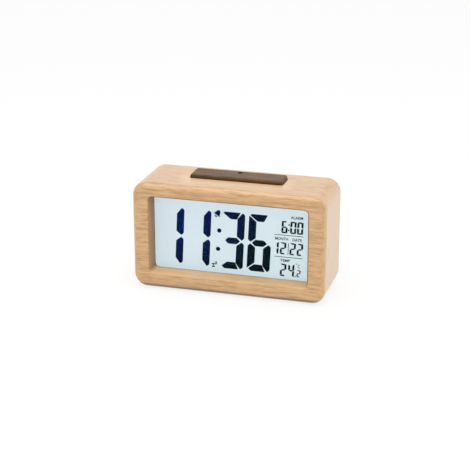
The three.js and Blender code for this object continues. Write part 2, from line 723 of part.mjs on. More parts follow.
// Main board with its drive chip, clock crystal and temperature sensor
function mainBoard() {
  const panel = box(-board.x, board.x, boardFront, boardBack, board.bottom, board.top);
  const holes = [...boardFixings, ...boardPegs].map(({ x, z }) => rod(
    SCREW_DIAMETER + 2 * LOOSE_GAP, boardFront - CUT_OVERRUN, boardBack + CUT_OVERRUN, x, z));

  const dome = [[0, 0], [BLOB_DIAMETER / 2, 0]];
  for (let ring = 1; ring < ROUND_RINGS; ring++) {
    const angle = (ring / ROUND_RINGS) * (Math.PI / 2);
    dome.push([(BLOB_DIAMETER / 2) * Math.cos(angle), BLOB_HEIGHT * Math.sin(angle)]);
  }
  dome.push([0, BLOB_HEIGHT]);
  const seat = boardBack + LAYER_GAP;
  const blob = placed(
    mesh('driver_chip', solid(turned(dome)), blackResin), BLOB_PLACE[0], seat, BLOB_PLACE[1]);

  const crystalRadius = CRYSTAL_DIAMETER / 2;
  const can = new THREE.CylinderGeometry(crystalRadius, crystalRadius, CRYSTAL_LENGTH, ROUND_STEPS);
  can.rotateZ(Math.PI / 2);
  const crystal = placed(
    mesh('clock_crystal', solid(can), steel), CRYSTAL_PLACE[0], seat + crystalRadius, CRYSTAL_PLACE[1]);

  const bead = rod(
    THERMISTOR_DIAMETER, seat, seat + THERMISTOR_LENGTH, THERMISTOR_PLACE[0], THERMISTOR_PLACE[1]);
  const screws = boardFixings.map(({ x, z }, i) => placed(
    screw(`board_screw_${i + 1}`, BOARD_THICKNESS + BOARD_SCREW_BITE), x, seat, z, Math.PI));
  return [
    mesh('main_board', cut(panel, ...holes), greenBoard), blob, crystal,
    mesh('temperature_sensor', bead, blackResin), ...screws,
  ];
}

// A push switch with a bore that takes the tip of the part that presses it
function pushSwitch(travel) {
  const half = SWITCH_SIDE / 2;
  const body = box(-half, half, -SWITCH_HEIGHT, 0, -half, half);
  return cut(body, rod(POST_DIAMETER + 2 * LOOSE_GAP, -STEM_ENTRY - travel - LOOSE_GAP, CUT_OVERRUN, 0, 0));
}

// Snooze bar, its carrier with guide pins, return springs, bracket, board and switch
function snooze() {
  const halfLength = BAR_LENGTH / 2;
  const halfDepth = BAR_DEPTH / 2;
  const bevelDepth = barTop - BAR_BEVEL;
  const barGeometry = [
    { depth: barBottom, x: halfLength, z: halfDepth, corner: BAR_CORNER },
    { depth: bevelDepth, x: halfLength, z: halfDepth, corner: BAR_CORNER },
    { depth: barTop - BAR_BEVEL * (1 - diagonal), x: halfLength - BAR_BEVEL * (1 - diagonal),
      z: halfDepth - BAR_BEVEL * (1 - diagonal), corner: BAR_CORNER },
    { depth: barTop, x: halfLength - BAR_BEVEL, z: halfDepth - BAR_BEVEL, corner: BAR_CORNER },
  ];
  const pipeY = BAR_SETBACK + WINDOW_PIPE_SETBACK;
  const pipeHole = post(
    WINDOW_PIPE_DIAMETER + 2 * LAYER_GAP, barBottom - CUT_OVERRUN, barTop + CUT_OVERRUN, 0, pipeY);
  const cap = cut(upright(loft(barGeometry), barMiddle), pipeHole);
  const pipe = post(WINDOW_PIPE_DIAMETER, barBottom, barTop - LAYER_GAP, 0, pipeY);

  const plateHalf = { x: halfLength - LOOSE_GAP, z: halfDepth - LOOSE_GAP };
  const plateSlab = upright(loft([
    { depth: plateBottom, ...plateHalf, corner: BAR_CORNER },
    { depth: plateBottom + CARRIER_PLATE, ...plateHalf, corner: BAR_CORNER }]), barMiddle);
  const webHalf = halfLength - 2 * BAR_CORNER;
  const web = box(
    -webHalf, webHalf, carrierFront, carrierBack, flangeTop - LAYER_GAP, plateBottom + LAYER_GAP);
  const flange = box(-flangeHalf, flangeHalf, carrierFront, carrierBack, flangeBottom, flangeTop);
  const pins = [-1, 1].map((side) => post(
    PIN_DIAMETER, bracketFloor - BRACKET_WALL - SNOOZE_TRAVEL, flangeBottom + LAYER_GAP,
    side * PIN_SPREAD, carrierMiddle));
  const switchSeat = bracketFloor + LAYER_GAP + SMALL_BOARD_THICKNESS + LAYER_GAP;
  const presser = post(
    POST_DIAMETER, switchSeat + SWITCH_HEIGHT - STEM_ENTRY, flangeBottom + LAYER_GAP, 0, carrierMiddle);
  const plateTop = plateBottom + CARRIER_PLATE;
  const sensorSeat = post(
    WINDOW_PIPE_DIAMETER + 2 * LAYER_GAP, plateTop - SENSOR_THICKNESS - LAYER_GAP, barBottom, 0, pipeY);
  const carrier = cut(join(plateSlab, web, flange, ...pins, presser), sensorSeat);
  const sensor = post(WINDOW_PIPE_DIAMETER, plateTop - SENSOR_THICKNESS, plateTop, 0, pipeY);

  const footEnd = legOuter + BRACKET_FOOT;
  const floorBottom = bracketFloor - BRACKET_WALL;
  const floor = box(-legOuter, legOuter, carrierFront, carrierBack, floorBottom, bracketFloor);
  const sides = [-1, 1].flatMap((side) => {
    const leg = [side * legInner, side * legOuter].sort((a, b) => a - b);
    const foot = [side * legInner, side * footEnd].sort((a, b) => a - b);
    return [
      box(...leg, carrierFront, carrierBack, floorBottom, bracketTop),
      box(...foot, carrierFront, carrierBack, bracketTop - BRACKET_WALL, bracketTop),
    ];
  });
  const pinHoles = [-1, 1].map((side) => post(
    PIN_DIAMETER + 2 * LOOSE_GAP, floorBottom - CUT_OVERRUN, bracketFloor + CUT_OVERRUN,
    side * PIN_SPREAD, carrierMiddle));
  const screwHoles = [-1, 1].map((side) => post(
    SCREW_DIAMETER + 2 * LOOSE_GAP, bracketTop - BRACKET_WALL - CUT_OVERRUN, bracketTop + CUT_OVERRUN,
    side * bracketScrew, carrierMiddle));
  const bracket = cut(join(floor, ...sides), ...pinHoles, ...screwHoles);

  const halfBoard = SNOOZE_BOARD_LENGTH / 2;
  const panel = box(
    -halfBoard, halfBoard, carrierFront + LOOSE_GAP, carrierBack - LOOSE_GAP,
    bracketFloor + LAYER_GAP, bracketFloor + LAYER_GAP + SMALL_BOARD_THICKNESS);
  const switchPiece = placed(
    mesh('snooze_switch', pushSwitch(SNOOZE_TRAVEL), blackResin),
    0, carrierMiddle, switchSeat + SWITCH_HEIGHT, Math.PI / 2);
  const sideNames = [[-1, 'left'], [1, 'right']];
  const springs = sideNames.map(([side, word]) => placed(
    spring(`snooze_spring_${word}`, SPRING_DIAMETER, SPRING_DIAMETER, SPRING_LENGTH, SPRING_TURNS),
    side * PIN_SPREAD, carrierMiddle, bracketFloor + LAYER_GAP));
  const screws = sideNames.map(([side, word]) => placed(
    screw(`bracket_screw_${word}`, BRACKET_WALL + BRACKET_SCREW_BITE),
    side * bracketScrew, carrierMiddle, bracketTop - BRACKET_WALL - LAYER_GAP, Math.PI / 2));
  return [
    mesh('snooze_bar', cap, darkWood), mesh('light_window', pipe, clearPlastic),
    mesh('snooze_carrier', carrier, coverPlastic), mesh('light_sensor', sensor, blackResin),
    mesh('snooze_bracket', bracket, coverPlastic), mesh('snooze_board', panel, greenBoard),
    switchPiece, ...springs, ...screws,
  ];
}

// A piece laid out front to back, turned to stand upright at a depth
function upright(body, depth) {
  return body.rotate([90, 0, 0]).translate([0, depth, 0]);
}

// Rear cover: plate, battery bay, buzzer ring, spacers that hold the tray, and openings
function rearCover() {
  const edge = { x: cover.x - COVER_EDGE, z: cover.z - COVER_EDGE };
  const corner = LEDGE_CORNER - LOOSE_GAP;
  const panel = loft([
    { depth: coverInner, ...cover, corner },
    { depth: coverOuter - COVER_EDGE, ...cover, corner },
    { depth: coverOuter, ...edge, corner: corner - COVER_EDGE }]);

  const bayBox = box(
    -bay.x - BAY_WALL, bay.x + BAY_WALL, bayOuter, coverInner + LAYER_GAP,
    bayMiddle - bay.z - BAY_WALL, bayMiddle + bay.z + BAY_WALL);
  const spacers = corners.map(([sideX, sideZ]) => rod(
    SPACER_DIAMETER, trayBack + LAYER_GAP, coverInner + LAYER_GAP,
    sideX * (pocket.x - SPACER_FROM_SIDE), sideZ * (pocket.z - SPACER_FROM_TOP)));
  const ringInner = BUZZER_DIAMETER + 2 * LOOSE_GAP;
  const ringFront = coverInner - BUZZER_HEIGHT;
  const ring = cut(
    rod(ringInner + 2 * BUZZER_RING, ringFront, coverInner + LAYER_GAP, sideMiddle, bayMiddle),
    rod(ringInner, ringFront - CUT_OVERRUN, coverInner, sideMiddle, bayMiddle));
  const stakes = stakePlaces.flatMap((x) => [
    rod(STAKE_DIAMETER, keyBoardBack + LAYER_GAP, coverInner + LAYER_GAP, x, buttonHeight),
    rod(STAKE_PIN, keyBoardFront - LOOSE_GAP, coverInner, x, buttonHeight)]);
  const whole = join(panel, bayBox, ...spacers, ring, ...stakes);

  const outside = coverOuter + CUT_OVERRUN;
  const well = box(-bay.x, bay.x, bayFloor, outside, bayMiddle - bay.z, bayMiddle + bay.z);
  const doorSeat = plate(
    { x: door.x + LOOSE_GAP, z: door.z + LOOSE_GAP }, DOOR_CORNER + LOOSE_GAP,
    doorInner - LAYER_GAP, outside, 0, doorMiddle);
  const notches = [-1, 1].map((side) => {
    const middle = side * TAB_SPREAD;
    const half = TAB_WIDTH / 2 + LOOSE_GAP;
    return box(
      middle - half, middle + half, coverInner - CUT_OVERRUN, doorInner,
      doorBottom - LOOSE_GAP, bayMiddle - bay.z - BAY_WALL);
  });
  const tailHoles = contactTails().map(({ x0, x1, z }) => box(
    Math.min(x0, x1), Math.max(x0, x1), bayFloor, bayFloor + CONTACT_THICKNESS + 2 * LOOSE_GAP,
    z - TAIL_WIDTH / 2 - LOOSE_GAP, z + TAIL_WIDTH / 2 + LOOSE_GAP));
  const buttonHoles = buttonPlaces.map((x) => rod(
    BUTTON_DIAMETER + 2 * LOOSE_GAP, coverInner - CUT_OVERRUN, outside, x, buttonHeight));
  const stemHalf = (KNOB_STEM + KNOB_TRAVEL) / 2 + LOOSE_GAP;
  const knobHalf = (KNOB_LENGTH + KNOB_TRAVEL) / 2 + LOOSE_GAP;
  const knobMiddle = KNOB_PLACE + KNOB_TRAVEL / 2;
  const stemSlot = box(
    knobMiddle - stemHalf, knobMiddle + stemHalf, coverInner - CUT_OVERRUN, outside,
    buttonHeight - KNOB_STEM / 2 - LOOSE_GAP, buttonHeight + KNOB_STEM / 2 + LOOSE_GAP);
  const knobSlot = plate(
    { x: knobHalf, z: KNOB_WIDTH / 2 + LOOSE_GAP }, 2 * LOOSE_GAP, coverOuter - KNOB_RECESS, outside,
    knobMiddle, buttonHeight);
  const soundHoles = [[0, 0]];
  for (let hole = 0; hole < SOUND_HOLE_COUNT; hole++) {
    const angle = (hole / SOUND_HOLE_COUNT) * 2 * Math.PI;
    soundHoles.push([(SOUND_HOLE_CIRCLE / 2) * Math.cos(angle), (SOUND_HOLE_CIRCLE / 2) * Math.sin(angle)]);
  }
  const grille = soundHoles.map(([x, z]) => rod(
    SOUND_HOLE_DIAMETER, coverInner - CUT_OVERRUN, outside, sideMiddle + x, bayMiddle + z));
  const vents = Array.from({ length: VENT_COUNT }, (unused, i) => {
    const height = bayMiddle + (i - (VENT_COUNT - 1) / 2) * VENT_PITCH;
    return box(
      -sideMiddle - VENT_LENGTH / 2, -sideMiddle + VENT_LENGTH / 2, coverInner - CUT_OVERRUN, outside,
      height - VENT_WIDTH / 2, height + VENT_WIDTH / 2);
  });
  const screwHoles = corners.flatMap(([sideX, sideZ]) => {
    const x = sideX * screwPlace.x;
    const z = sideZ * screwPlace.z;
    return [
      rod(SCREW_DIAMETER + 2 * LOOSE_GAP, coverInner - CUT_OVERRUN, outside, x, z),
      rod(SCREW_HEAD_DIAMETER + 2 * LOOSE_GAP, coverOuter - SCREW_HEAD_HEIGHT, outside, x, z)];
  });
  const ribs = Array.from({ length: CELL_COUNT - 1 }, (unused, i) => {
    const height = bayMiddle + (i - (CELL_COUNT - 2) / 2) * cellPitch;
    return box(
      -CELL_LENGTH / 4, CELL_LENGTH / 4, bayFloor - LAYER_GAP, bayFloor + BAY_RIB_HEIGHT,
      height - BAY_RIB / 2, height + BAY_RIB / 2);
  });
  const opened = cut(
    whole, well, doorSeat, ...notches, ...tailHoles, ...buttonHoles, stemSlot, knobSlot,
    ...grille, ...vents, ...screwHoles);

  const seat = coverOuter - SCREW_HEAD_HEIGHT + LAYER_GAP;
  const shank = seat - coverInner + COVER_SCREW_LENGTH - LOOSE_GAP;
  const screws = corners.map(([sideX, sideZ], i) => placed(
    screw(`cover_screw_${i + 1}`, shank), sideX * screwPlace.x, seat, sideZ * screwPlace.z, Math.PI));
  const disc = rod(
    BUZZER_DIAMETER, coverInner - LAYER_GAP - BUZZER_HEIGHT, coverInner - LAYER_GAP, sideMiddle, bayMiddle);
  return [mesh('rear_cover', join(opened, ...ribs), coverPlastic), ...screws, mesh('buzzer', disc, brass)];
}

// Rows of cells from the top down, and the side that each one's spring is on
function cellRows() {
  return Array.from({ length: CELL_COUNT }, (unused, row) => ({
    height: bayMiddle + ((CELL_COUNT - 1) / 2 - row) * cellPitch,
    springSide: row % 2 === 0 ? -1 : 1,
  }));
}

// Where the tails of the two end contacts pass through the bay's end walls
function contactTails() {
  const rows = cellRows();
  const last = rows.at(-1);
  const start = bay.x - CUT_OVERRUN;
  const end = bay.x + BAY_WALL + CUT_OVERRUN;
  return [
    { x0: rows[0].springSide * start, x1: rows[0].springSide * end, z: rows[0].height },
    { x0: -last.springSide * start, x1: -last.springSide * end, z: last.height }];
}

// Contact plate on one end wall of the bay, reaching over some rows, with or without a tail
function contact(name, side, topRow, bottomRow, tailHeight) {
  const inner = side * (bay.x - LAYER_GAP - CONTACT_THICKNESS);
  const outer = side * (bay.x - LAYER_GAP);
  const span = [inner, outer].sort((a, b) => a - b);
  const half = CONTACT_HEIGHT / 2;
  const parts = [box(...span, cellMiddle - half, cellMiddle + half, bottomRow - half, topRow + half)];
  if (tailHeight !== undefined) {
    const tail = [inner, side * (bay.x + BAY_WALL + TAIL_REACH)].sort((a, b) => a - b);
    const front = bayFloor + LOOSE_GAP;
    const [low, high] = [tailHeight - TAIL_WIDTH / 2, tailHeight + TAIL_WIDTH / 2];
    parts.push(box(...tail, front, front + CONTACT_THICKNESS, low, high));
    parts.push(box(...span, front, cellMiddle, low, high));
  }
  return mesh(name, join(...parts), steel);
}

// Cells, springs, contacts, battery door and the leads of the two end contacts
function batteries() {
  const rows = cellRows();
  const radius = CELL_DIAMETER / 2;
  const shoulder = CELL_LENGTH - CELL_NUB_HEIGHT;
  const profile = [
    [0, 0], [radius - CELL_EDGE, 0], [radius, CELL_EDGE], [radius, shoulder - CELL_EDGE],
    [radius - CELL_EDGE, shoulder], [CELL_NUB_DIAMETER / 2, shoulder], [CELL_NUB_DIAMETER / 2, CELL_LENGTH],
    [0, CELL_LENGTH]];
  const cells = rows.map(({ height, springSide }, i) => {
    const cell = mesh(`battery_${i + 1}`, solid(turned(profile)), cellJacket);
    cell.rotation.z = (springSide * Math.PI) / 2;
    cell.position.set(springSide * (CELL_LENGTH / 2 - cellShift), cellMiddle, height);
    return cell;
  });
  const springs = rows.map(({ height, springSide }, i) => {
    const coil = spring(
      `battery_spring_${i + 1}`, CELL_SPRING_BASE, CELL_SPRING_TIP,
      CELL_SPRING_LENGTH - LAYER_GAP, CELL_SPRING_TURNS);
    coil.rotation.y = (-springSide * Math.PI) / 2;
    coil.position.set(springSide * (bay.x - 2 * LAYER_GAP - CONTACT_THICKNESS), cellMiddle, height);
    return coil;
  });
  const first = rows[0];
  const last = rows.at(-1);
  const links = rows.slice(1).map(({ height, springSide }, i) => contact(
    `contact_link_${i + 1}`, springSide, rows[i].height, height));
  const plates = [
    contact('contact_negative', first.springSide, first.height, first.height, first.height), ...links,
    contact('contact_positive', -last.springSide, last.height, last.height, last.height)];

  const tailEnd = bay.x + BAY_WALL + TAIL_REACH + LOOSE_GAP;
  const tailDepth = bayFloor + LOOSE_GAP + CONTACT_THICKNESS / 2;
  const meet = boardBack + LOOSE_GAP;
  const leadPoints = (side, height, shift) => [
    [side * tailEnd, tailDepth, height],
    [side * (tailEnd + LEAD_RUN), tailDepth - LEAD_DIP, height],
    [side * (tailEnd + LEAD_SWING), (tailDepth + meet) / 2, height + shift / 2],
    [side * (tailEnd + LEAD_SWING), meet + LEAD_DIP, height + shift],
    [side * (tailEnd + LEAD_SWING), meet, height + shift]];
  const blackPath = leadPoints(first.springSide, first.height, -LEAD_DROP);
  const redPath = leadPoints(-last.springSide, last.height, LEAD_DROP);
  const leads = [
    lead('battery_lead_black', blackPath, LEAD_DIAMETER, blackSleeve),
    lead('battery_lead_red', redPath, LEAD_DIAMETER, redSleeve)];
  return [...cells, ...springs, ...plates, ...leads, batteryDoor()];
}

// Battery door: a flush plate with two hinge tabs under the cover's edge and a sprung tongue
function batteryDoor() {
  const panel = plate(door, DOOR_CORNER, doorInner, coverOuter, 0, doorMiddle);
  const tabs = [-1, 1].flatMap((side) => {
    const left = side * TAB_SPREAD - TAB_WIDTH / 2;
    const right = left + TAB_WIDTH;
    const tabOuter = coverInner - LOOSE_GAP;
    const rootBottom = doorBottom + TAB_ROOT_INSET;
    return [
      box(left, right, tabOuter - TAB_THICKNESS, doorInner + LAYER_GAP, rootBottom, rootBottom + TAB_ROOT),
      box(left, right, tabOuter - TAB_THICKNESS, tabOuter, doorBottom - TAB_REACH, rootBottom + TAB_ROOT)];
  });
  const doorTop = doorBottom + doorHeight;
  const slits = [-1, 1].map((side) => {
    const middle = (side * TONGUE_WIDTH) / 2;
    return box(
      middle - TONGUE_SLIT / 2, middle + TONGUE_SLIT / 2, doorInner - CUT_OVERRUN, coverOuter + CUT_OVERRUN,
      doorTop - TONGUE_LENGTH, doorTop + CUT_OVERRUN);
  });
  const ribHalf = TONGUE_WIDTH / 2 - 2 * TONGUE_SLIT;
  const ribs = Array.from({ length: GRIP_RIB_COUNT }, (unused, i) => {
    const height = doorTop - (i + 1) * GRIP_RIB_PITCH;
    return box(
      -ribHalf, ribHalf, coverOuter - LAYER_GAP, coverOuter + GRIP_RIB_PROUD,
      height - GRIP_RIB / 2, height + GRIP_RIB / 2);
  });
  return mesh('battery_door', join(cut(panel, ...slits), ...tabs, ...ribs), coverPlastic);
}

// Rear buttons, the switches that they press, the alarm slide switch and their board
function controls() {
  const radius = BUTTON_DIAMETER / 2;
  const tip = switchTop - STEM_ENTRY;
  const face = coverOuter + BUTTON_PROUD;
  const flangeFront = buttonFlangeBack - BUTTON_FLANGE;
  const stem = POST_DIAMETER / 2;
  const flange = BUTTON_FLANGE_DIAMETER / 2;
  const profile = [
    [0, tip], [stem, tip], [stem, flangeFront], [flange, flangeFront], [flange, buttonFlangeBack],
    [radius, buttonFlangeBack], [radius, face - BUTTON_EDGE], [radius - BUTTON_EDGE, face], [0, face]];
  const buttons = BUTTON_NAMES.map((name, i) => placed(
    mesh(`${name}_button`, solid(turned(profile)), buttonPlastic), buttonPlaces[i], 0, buttonHeight));
  const switches = BUTTON_NAMES.map((name, i) => placed(
    mesh(`${name}_switch`, pushSwitch(BUTTON_TRAVEL), blackResin),
    buttonPlaces[i], switchTop, buttonHeight));

  const knobMiddle = KNOB_PLACE + KNOB_TRAVEL / 2;
  const knobBottom = coverOuter - KNOB_RECESS + LOOSE_GAP;
  const stemTip = keyBoardBack + SWITCH_HEIGHT / 2;
  const knob = join(
    box(
      KNOB_PLACE - KNOB_LENGTH / 2, KNOB_PLACE + KNOB_LENGTH / 2, knobBottom, coverOuter + KNOB_PROUD,
      buttonHeight - KNOB_WIDTH / 2, buttonHeight + KNOB_WIDTH / 2),
    box(
      KNOB_PLACE - KNOB_STEM / 2, KNOB_PLACE + KNOB_STEM / 2, stemTip, knobBottom + LAYER_GAP,
      buttonHeight - KNOB_STEM / 2, buttonHeight + KNOB_STEM / 2));
  const slideBody = box(
    knobMiddle - SLIDE_SWITCH_LENGTH / 2, knobMiddle + SLIDE_SWITCH_LENGTH / 2,
    keyBoardBack + LAYER_GAP, switchTop,
    buttonHeight - SLIDE_SWITCH_WIDTH / 2, buttonHeight + SLIDE_SWITCH_WIDTH / 2);
  const stemRoom = (KNOB_STEM + KNOB_TRAVEL) / 2 + LOOSE_GAP;
  const slideSlot = box(
    knobMiddle - stemRoom, knobMiddle + stemRoom, stemTip - LOOSE_GAP, switchTop + CUT_OVERRUN,
    buttonHeight - KNOB_STEM / 2 - LOOSE_GAP, buttonHeight + KNOB_STEM / 2 + LOOSE_GAP);

  const boardLeft = stakePlaces[0] - STAKE_DIAMETER / 2 - KEY_BOARD_MARGIN;
  const switchEnd = knobMiddle + SLIDE_SWITCH_LENGTH / 2;
  const cableEnd = cablePlace + CABLE_DIAMETER / 2;
  const boardRight = Math.max(switchEnd, cableEnd) + KEY_BOARD_MARGIN;
  const panel = box(
    boardLeft, boardRight, keyBoardFront, keyBoardBack - LAYER_GAP,
    buttonHeight - KEY_BOARD_HEIGHT / 2, buttonHeight + KEY_BOARD_HEIGHT / 2);
  const stakeHoles = stakePlaces.map((x) => rod(
    STAKE_PIN + 2 * LOOSE_GAP, keyBoardFront - CUT_OVERRUN, keyBoardBack, x, buttonHeight));
  const cable = lead('key_cable', [
    [cablePlace, keyBoardFront - LOOSE_GAP, buttonHeight],
    [cablePlace, keyBoardFront - CABLE_RUN, buttonHeight],
    [cablePlace, (keyBoardFront + boardBack) / 2, buttonHeight - CABLE_SAG],
    [cablePlace, boardBack + CABLE_RUN, buttonHeight],
    [cablePlace, boardBack + LOOSE_GAP, buttonHeight],
  ], CABLE_DIAMETER, greySleeve);
  return [
    ...buttons, ...switches, cable, mesh('alarm_knob', knob, buttonPlastic),
    mesh('alarm_switch', cut(slideBody, slideSlot), blackResin),
    mesh('key_board', cut(panel, ...stakeHoles), greenBoard),
  ];
}

const clock = new THREE.Group();
clock.name = 'alarm_clock';
const body = new THREE.Group();
body.position.set(0, -CASE_DEPTH / 2, -footBottom);
body.add(
  beechCase(), ...feet(), ...display(), ...mainBoard(),
  ...snooze(), ...rearCover(), ...batteries(), ...controls());
clock.add(body);

export default clock;
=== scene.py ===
import json
import math

import bmesh
import bpy
from mathutils import Matrix, Vector


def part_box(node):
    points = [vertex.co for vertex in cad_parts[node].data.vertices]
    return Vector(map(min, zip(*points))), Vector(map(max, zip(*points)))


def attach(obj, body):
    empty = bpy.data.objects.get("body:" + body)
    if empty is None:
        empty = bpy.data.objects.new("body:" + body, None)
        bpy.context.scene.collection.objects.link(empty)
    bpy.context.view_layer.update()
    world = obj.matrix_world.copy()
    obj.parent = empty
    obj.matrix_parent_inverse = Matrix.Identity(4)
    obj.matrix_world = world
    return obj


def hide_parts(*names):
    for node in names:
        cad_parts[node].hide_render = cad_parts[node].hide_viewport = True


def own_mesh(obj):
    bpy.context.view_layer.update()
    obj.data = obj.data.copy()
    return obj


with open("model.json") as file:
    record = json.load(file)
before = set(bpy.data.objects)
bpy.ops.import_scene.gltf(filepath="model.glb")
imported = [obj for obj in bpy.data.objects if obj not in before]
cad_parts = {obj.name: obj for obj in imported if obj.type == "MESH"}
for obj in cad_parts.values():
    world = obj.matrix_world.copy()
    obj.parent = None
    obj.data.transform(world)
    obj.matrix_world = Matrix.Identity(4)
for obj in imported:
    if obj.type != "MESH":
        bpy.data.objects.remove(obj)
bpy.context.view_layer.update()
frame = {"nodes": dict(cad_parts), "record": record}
nodes = frame["nodes"]

# Sizes are in millimetres: x runs across, depth back from the case's front face, height up from the middle
# of the window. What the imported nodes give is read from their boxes.
MM = 0.001
DIGITS = 2
FRONT_FACE = round(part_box("wooden_case")[0].y / MM, DIGITS)
WINDOW_MIDDLE = round(sum(corner.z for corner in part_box("display_lens")) / 2 / MM, DIGITS)
ORIGIN = {"X": 0.0, "Y": FRONT_FACE, "Z": WINDOW_MIDDLE}


def spot(x, depth, height):
    return Vector((x * MM, (depth + FRONT_FACE) * MM, (height + WINDOW_MIDDLE) * MM))


# A node's two ends across, in depth and in height
def reach(node):
    low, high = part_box(node)
    return [
        (round(start / MM - zero, DIGITS), round(end / MM - zero, DIGITS))
        for start, end, zero in zip(low, high, ORIGIN.values())]


def middle(ends):
    return round(sum(ends) / 2, DIGITS)


def middles(node):
    return [middle(ends) for ends in reach(node)]


def around(centre, half):
    return (centre - half, centre + half)


def grown(half, by):
    return tuple(round(side + by, DIGITS) for side in half)


def circle(count, radius=1.0):
    turns = [2 * math.pi * i / count for i in range(count)]
    return [(radius * math.cos(turn), radius * math.sin(turn)) for turn in turns]


GAP = 0.3
OVERCUT = 5.0

case_across, (_, CASE_DEPTH), (CASE_BOTTOM, CASE_TOP) = reach("wooden_case")
CASE_MIDDLE = middle((CASE_BOTTOM, CASE_TOP))
CASE_HALF = (case_across[1], round(CASE_TOP - CASE_MIDDLE, DIGITS))
CASE_CORNER = 9.5
FRONT_ROUND = 4.0
REAR_ROUND = 2.2

lens_across, lens_depth, lens_height = reach("display_lens")
LENS_SEAT = 0.1
SHELF_WIDTH = 4.1
RECESS_DEPTH = round(lens_depth[0] - LENS_SEAT, DIGITS)
POCKET_HALF = grown((lens_across[1], lens_height[1]), GAP)
POCKET_CORNER = 9.0
WINDOW_HALF = grown(POCKET_HALF, -SHELF_WIDTH)
WINDOW_CORNER = 3.0
WINDOW_ROUND = 1.2

cover_across, (SPACER_FRONT, COVER_OUTER), cover_height = reach("rear_cover")
COVER_HALF = (cover_across[1], cover_height[1])
COVER_CORNER = 4.7
COVER_WALL = 2.4
COVER_INNER = round(COVER_OUTER - COVER_WALL, DIGITS)
LEDGE_HALF = grown(COVER_HALF, GAP)
LEDGE_CORNER = COVER_CORNER + GAP
SCREW_PLACES = [middles(f"cover_screw_{i}")[::2] for i in (1, 2, 3, 4)]
FOOT_PLACES = [middles(f"foot_{i}")[:2] for i in (1, 2, 3, 4)]

bar_across, (BAR_FRONT, BAR_BACK), (BAR_BOTTOM, BAR_TOP) = reach("snooze_bar")
BAR_HALF = bar_across[1]

panel_across, (PAD_FRONT, PANEL_BACK), panel_height = reach("lcd_rear_glass")
PAD_THICKNESS = 0.15
SKIN = 0.01
PANEL_FRONT = round(PAD_FRONT + PAD_THICKNESS, DIGITS)
INK_FRONT = PAD_FRONT + SKIN
INK_BACK = PANEL_FRONT + SKIN

KEYS = ("mode", "set", "up", "down")
KEY_PLACES = {name: middles(f"{name}_button")[0] for name in KEYS}
KEY_HEIGHT = middles("mode_button")[2]
knob_across, (STEM_FRONT, KNOB_BACK), knob_height = reach("alarm_knob")
KNOB_PLACE = middle(knob_across)
SLIDE_TRAVEL = 3.0
SLIDE_MIDDLE = KNOB_PLACE + SLIDE_TRAVEL / 2


# A cell's spring is on the side that the cell is pushed away from
def cell_row(node):
    x, _, height = middles(node)
    return height, -1 if x > 0 else 1


CELL_ROWS = [cell_row(f"battery_{i}") for i in (1, 2, 3)]
CELL_DEPTH = middles("battery_1")[1]
BAY_MIDDLE = CELL_ROWS[1][0]
SIDE_MIDDLE = middles("buzzer")[0]
WELL_FLOOR = 33.9

door_across, (TAB_FRONT, GRIP_BACK), (TAB_FOOT, DOOR_TOP) = reach("battery_door")
DOOR_HALF = (door_across[1], 21.35)
DOOR_MIDDLE = round(DOOR_TOP - DOOR_HALF[1], DIGITS)
DOOR_FRONT = 45.0
DOOR_CORNER = 1.5
TAB_PLACES = (-17, 17)
TAB_HALF = 4.0


# Modelling
SAME_PLACE = 0.000001
MERGE = 0.002
FLAT = 0.3
NORMAL_WEIGHT = 80


def only(piece):
    bpy.ops.object.select_all(action="DESELECT")
    piece.select_set(True)
    bpy.context.view_layer.objects.active = piece


def edit(piece):
    only(piece)
    bpy.ops.object.mode_set(mode="EDIT")
    bpy.ops.mesh.select_all(action="SELECT")


def close(piece):
    bpy.ops.mesh.select_all(action="SELECT")
    bpy.ops.mesh.normals_make_consistent()
    bpy.ops.object.mode_set(mode="OBJECT")
    return piece


def settle(piece):
    only(piece)
    bpy.ops.object.transform_apply()
    return piece


def named(name):
    piece = bpy.context.object
    piece.name = name
    piece.data.name = name
    return settle(piece)


def block(name, across, depth, height):
    low, high = (spot(*ends) for ends in zip(across, depth, height))
    bpy.ops.mesh.primitive_cube_add(size=1, location=(low + high) / 2, scale=high - low)
    return named(name)


def dowel(name, diameter, depth, x, height, sides=40):
    bpy.ops.mesh.primitive_cylinder_add(
        vertices=sides, radius=diameter / 2 * MM, depth=(depth[1] - depth[0]) * MM,
        location=spot(x, sum(depth) / 2, height), rotation=(math.pi / 2, 0, 0))
    return named(name)


def peg(name, diameter, height, x, depth, sides=40):
    bpy.ops.mesh.primitive_cylinder_add(
        vertices=sides, radius=diameter / 2 * MM, depth=(height[1] - height[0]) * MM,
        location=spot(x, depth, sum(height) / 2))
    return named(name)


def round_edges(piece, wanted, radius, segments):
    edit(piece)
    bpy.ops.mesh.select_mode(type="EDGE")
    bpy.ops.mesh.select_all(action="DESELECT")
    skin = bmesh.from_edit_mesh(piece.data)
    for edge in skin.edges:
        edge.select_set(bool(wanted(*(v.co for v in edge.verts))))
    bmesh.update_edit_mesh(piece.data)
    bpy.ops.mesh.bevel(offset=radius * MM, segments=segments)
    bpy.ops.object.mode_set(mode="OBJECT")
    return piece


def near(value, target):
    return abs(value - target) < SAME_PLACE


def along(axis):
    others = [i for i in range(3) if i != axis]
    return lambda a, b: all(near(a[i], b[i]) for i in others)


def at(axis, place):
    return lambda a, b: near(a[axis], place) and near(b[axis], place)


# Edges on a flat side, within a half width of its middle; the half is nought at right angles to the side
def rim(centre, half):
    return lambda a, b: all(
        abs(end[i] - centre[i]) <= (half[i] + SKIN) * MM for end in (a, b) for i in range(3))


def brick(name, half, depth, x=0.0, height=0.0):
    return block(name, around(x, half[0]), depth, around(height, half[1]))


def slab(name, half, corner, depth, x=0.0, height=0.0, segments=10):
    return round_edges(brick(name, half, depth, x, height), along(1), corner, segments)


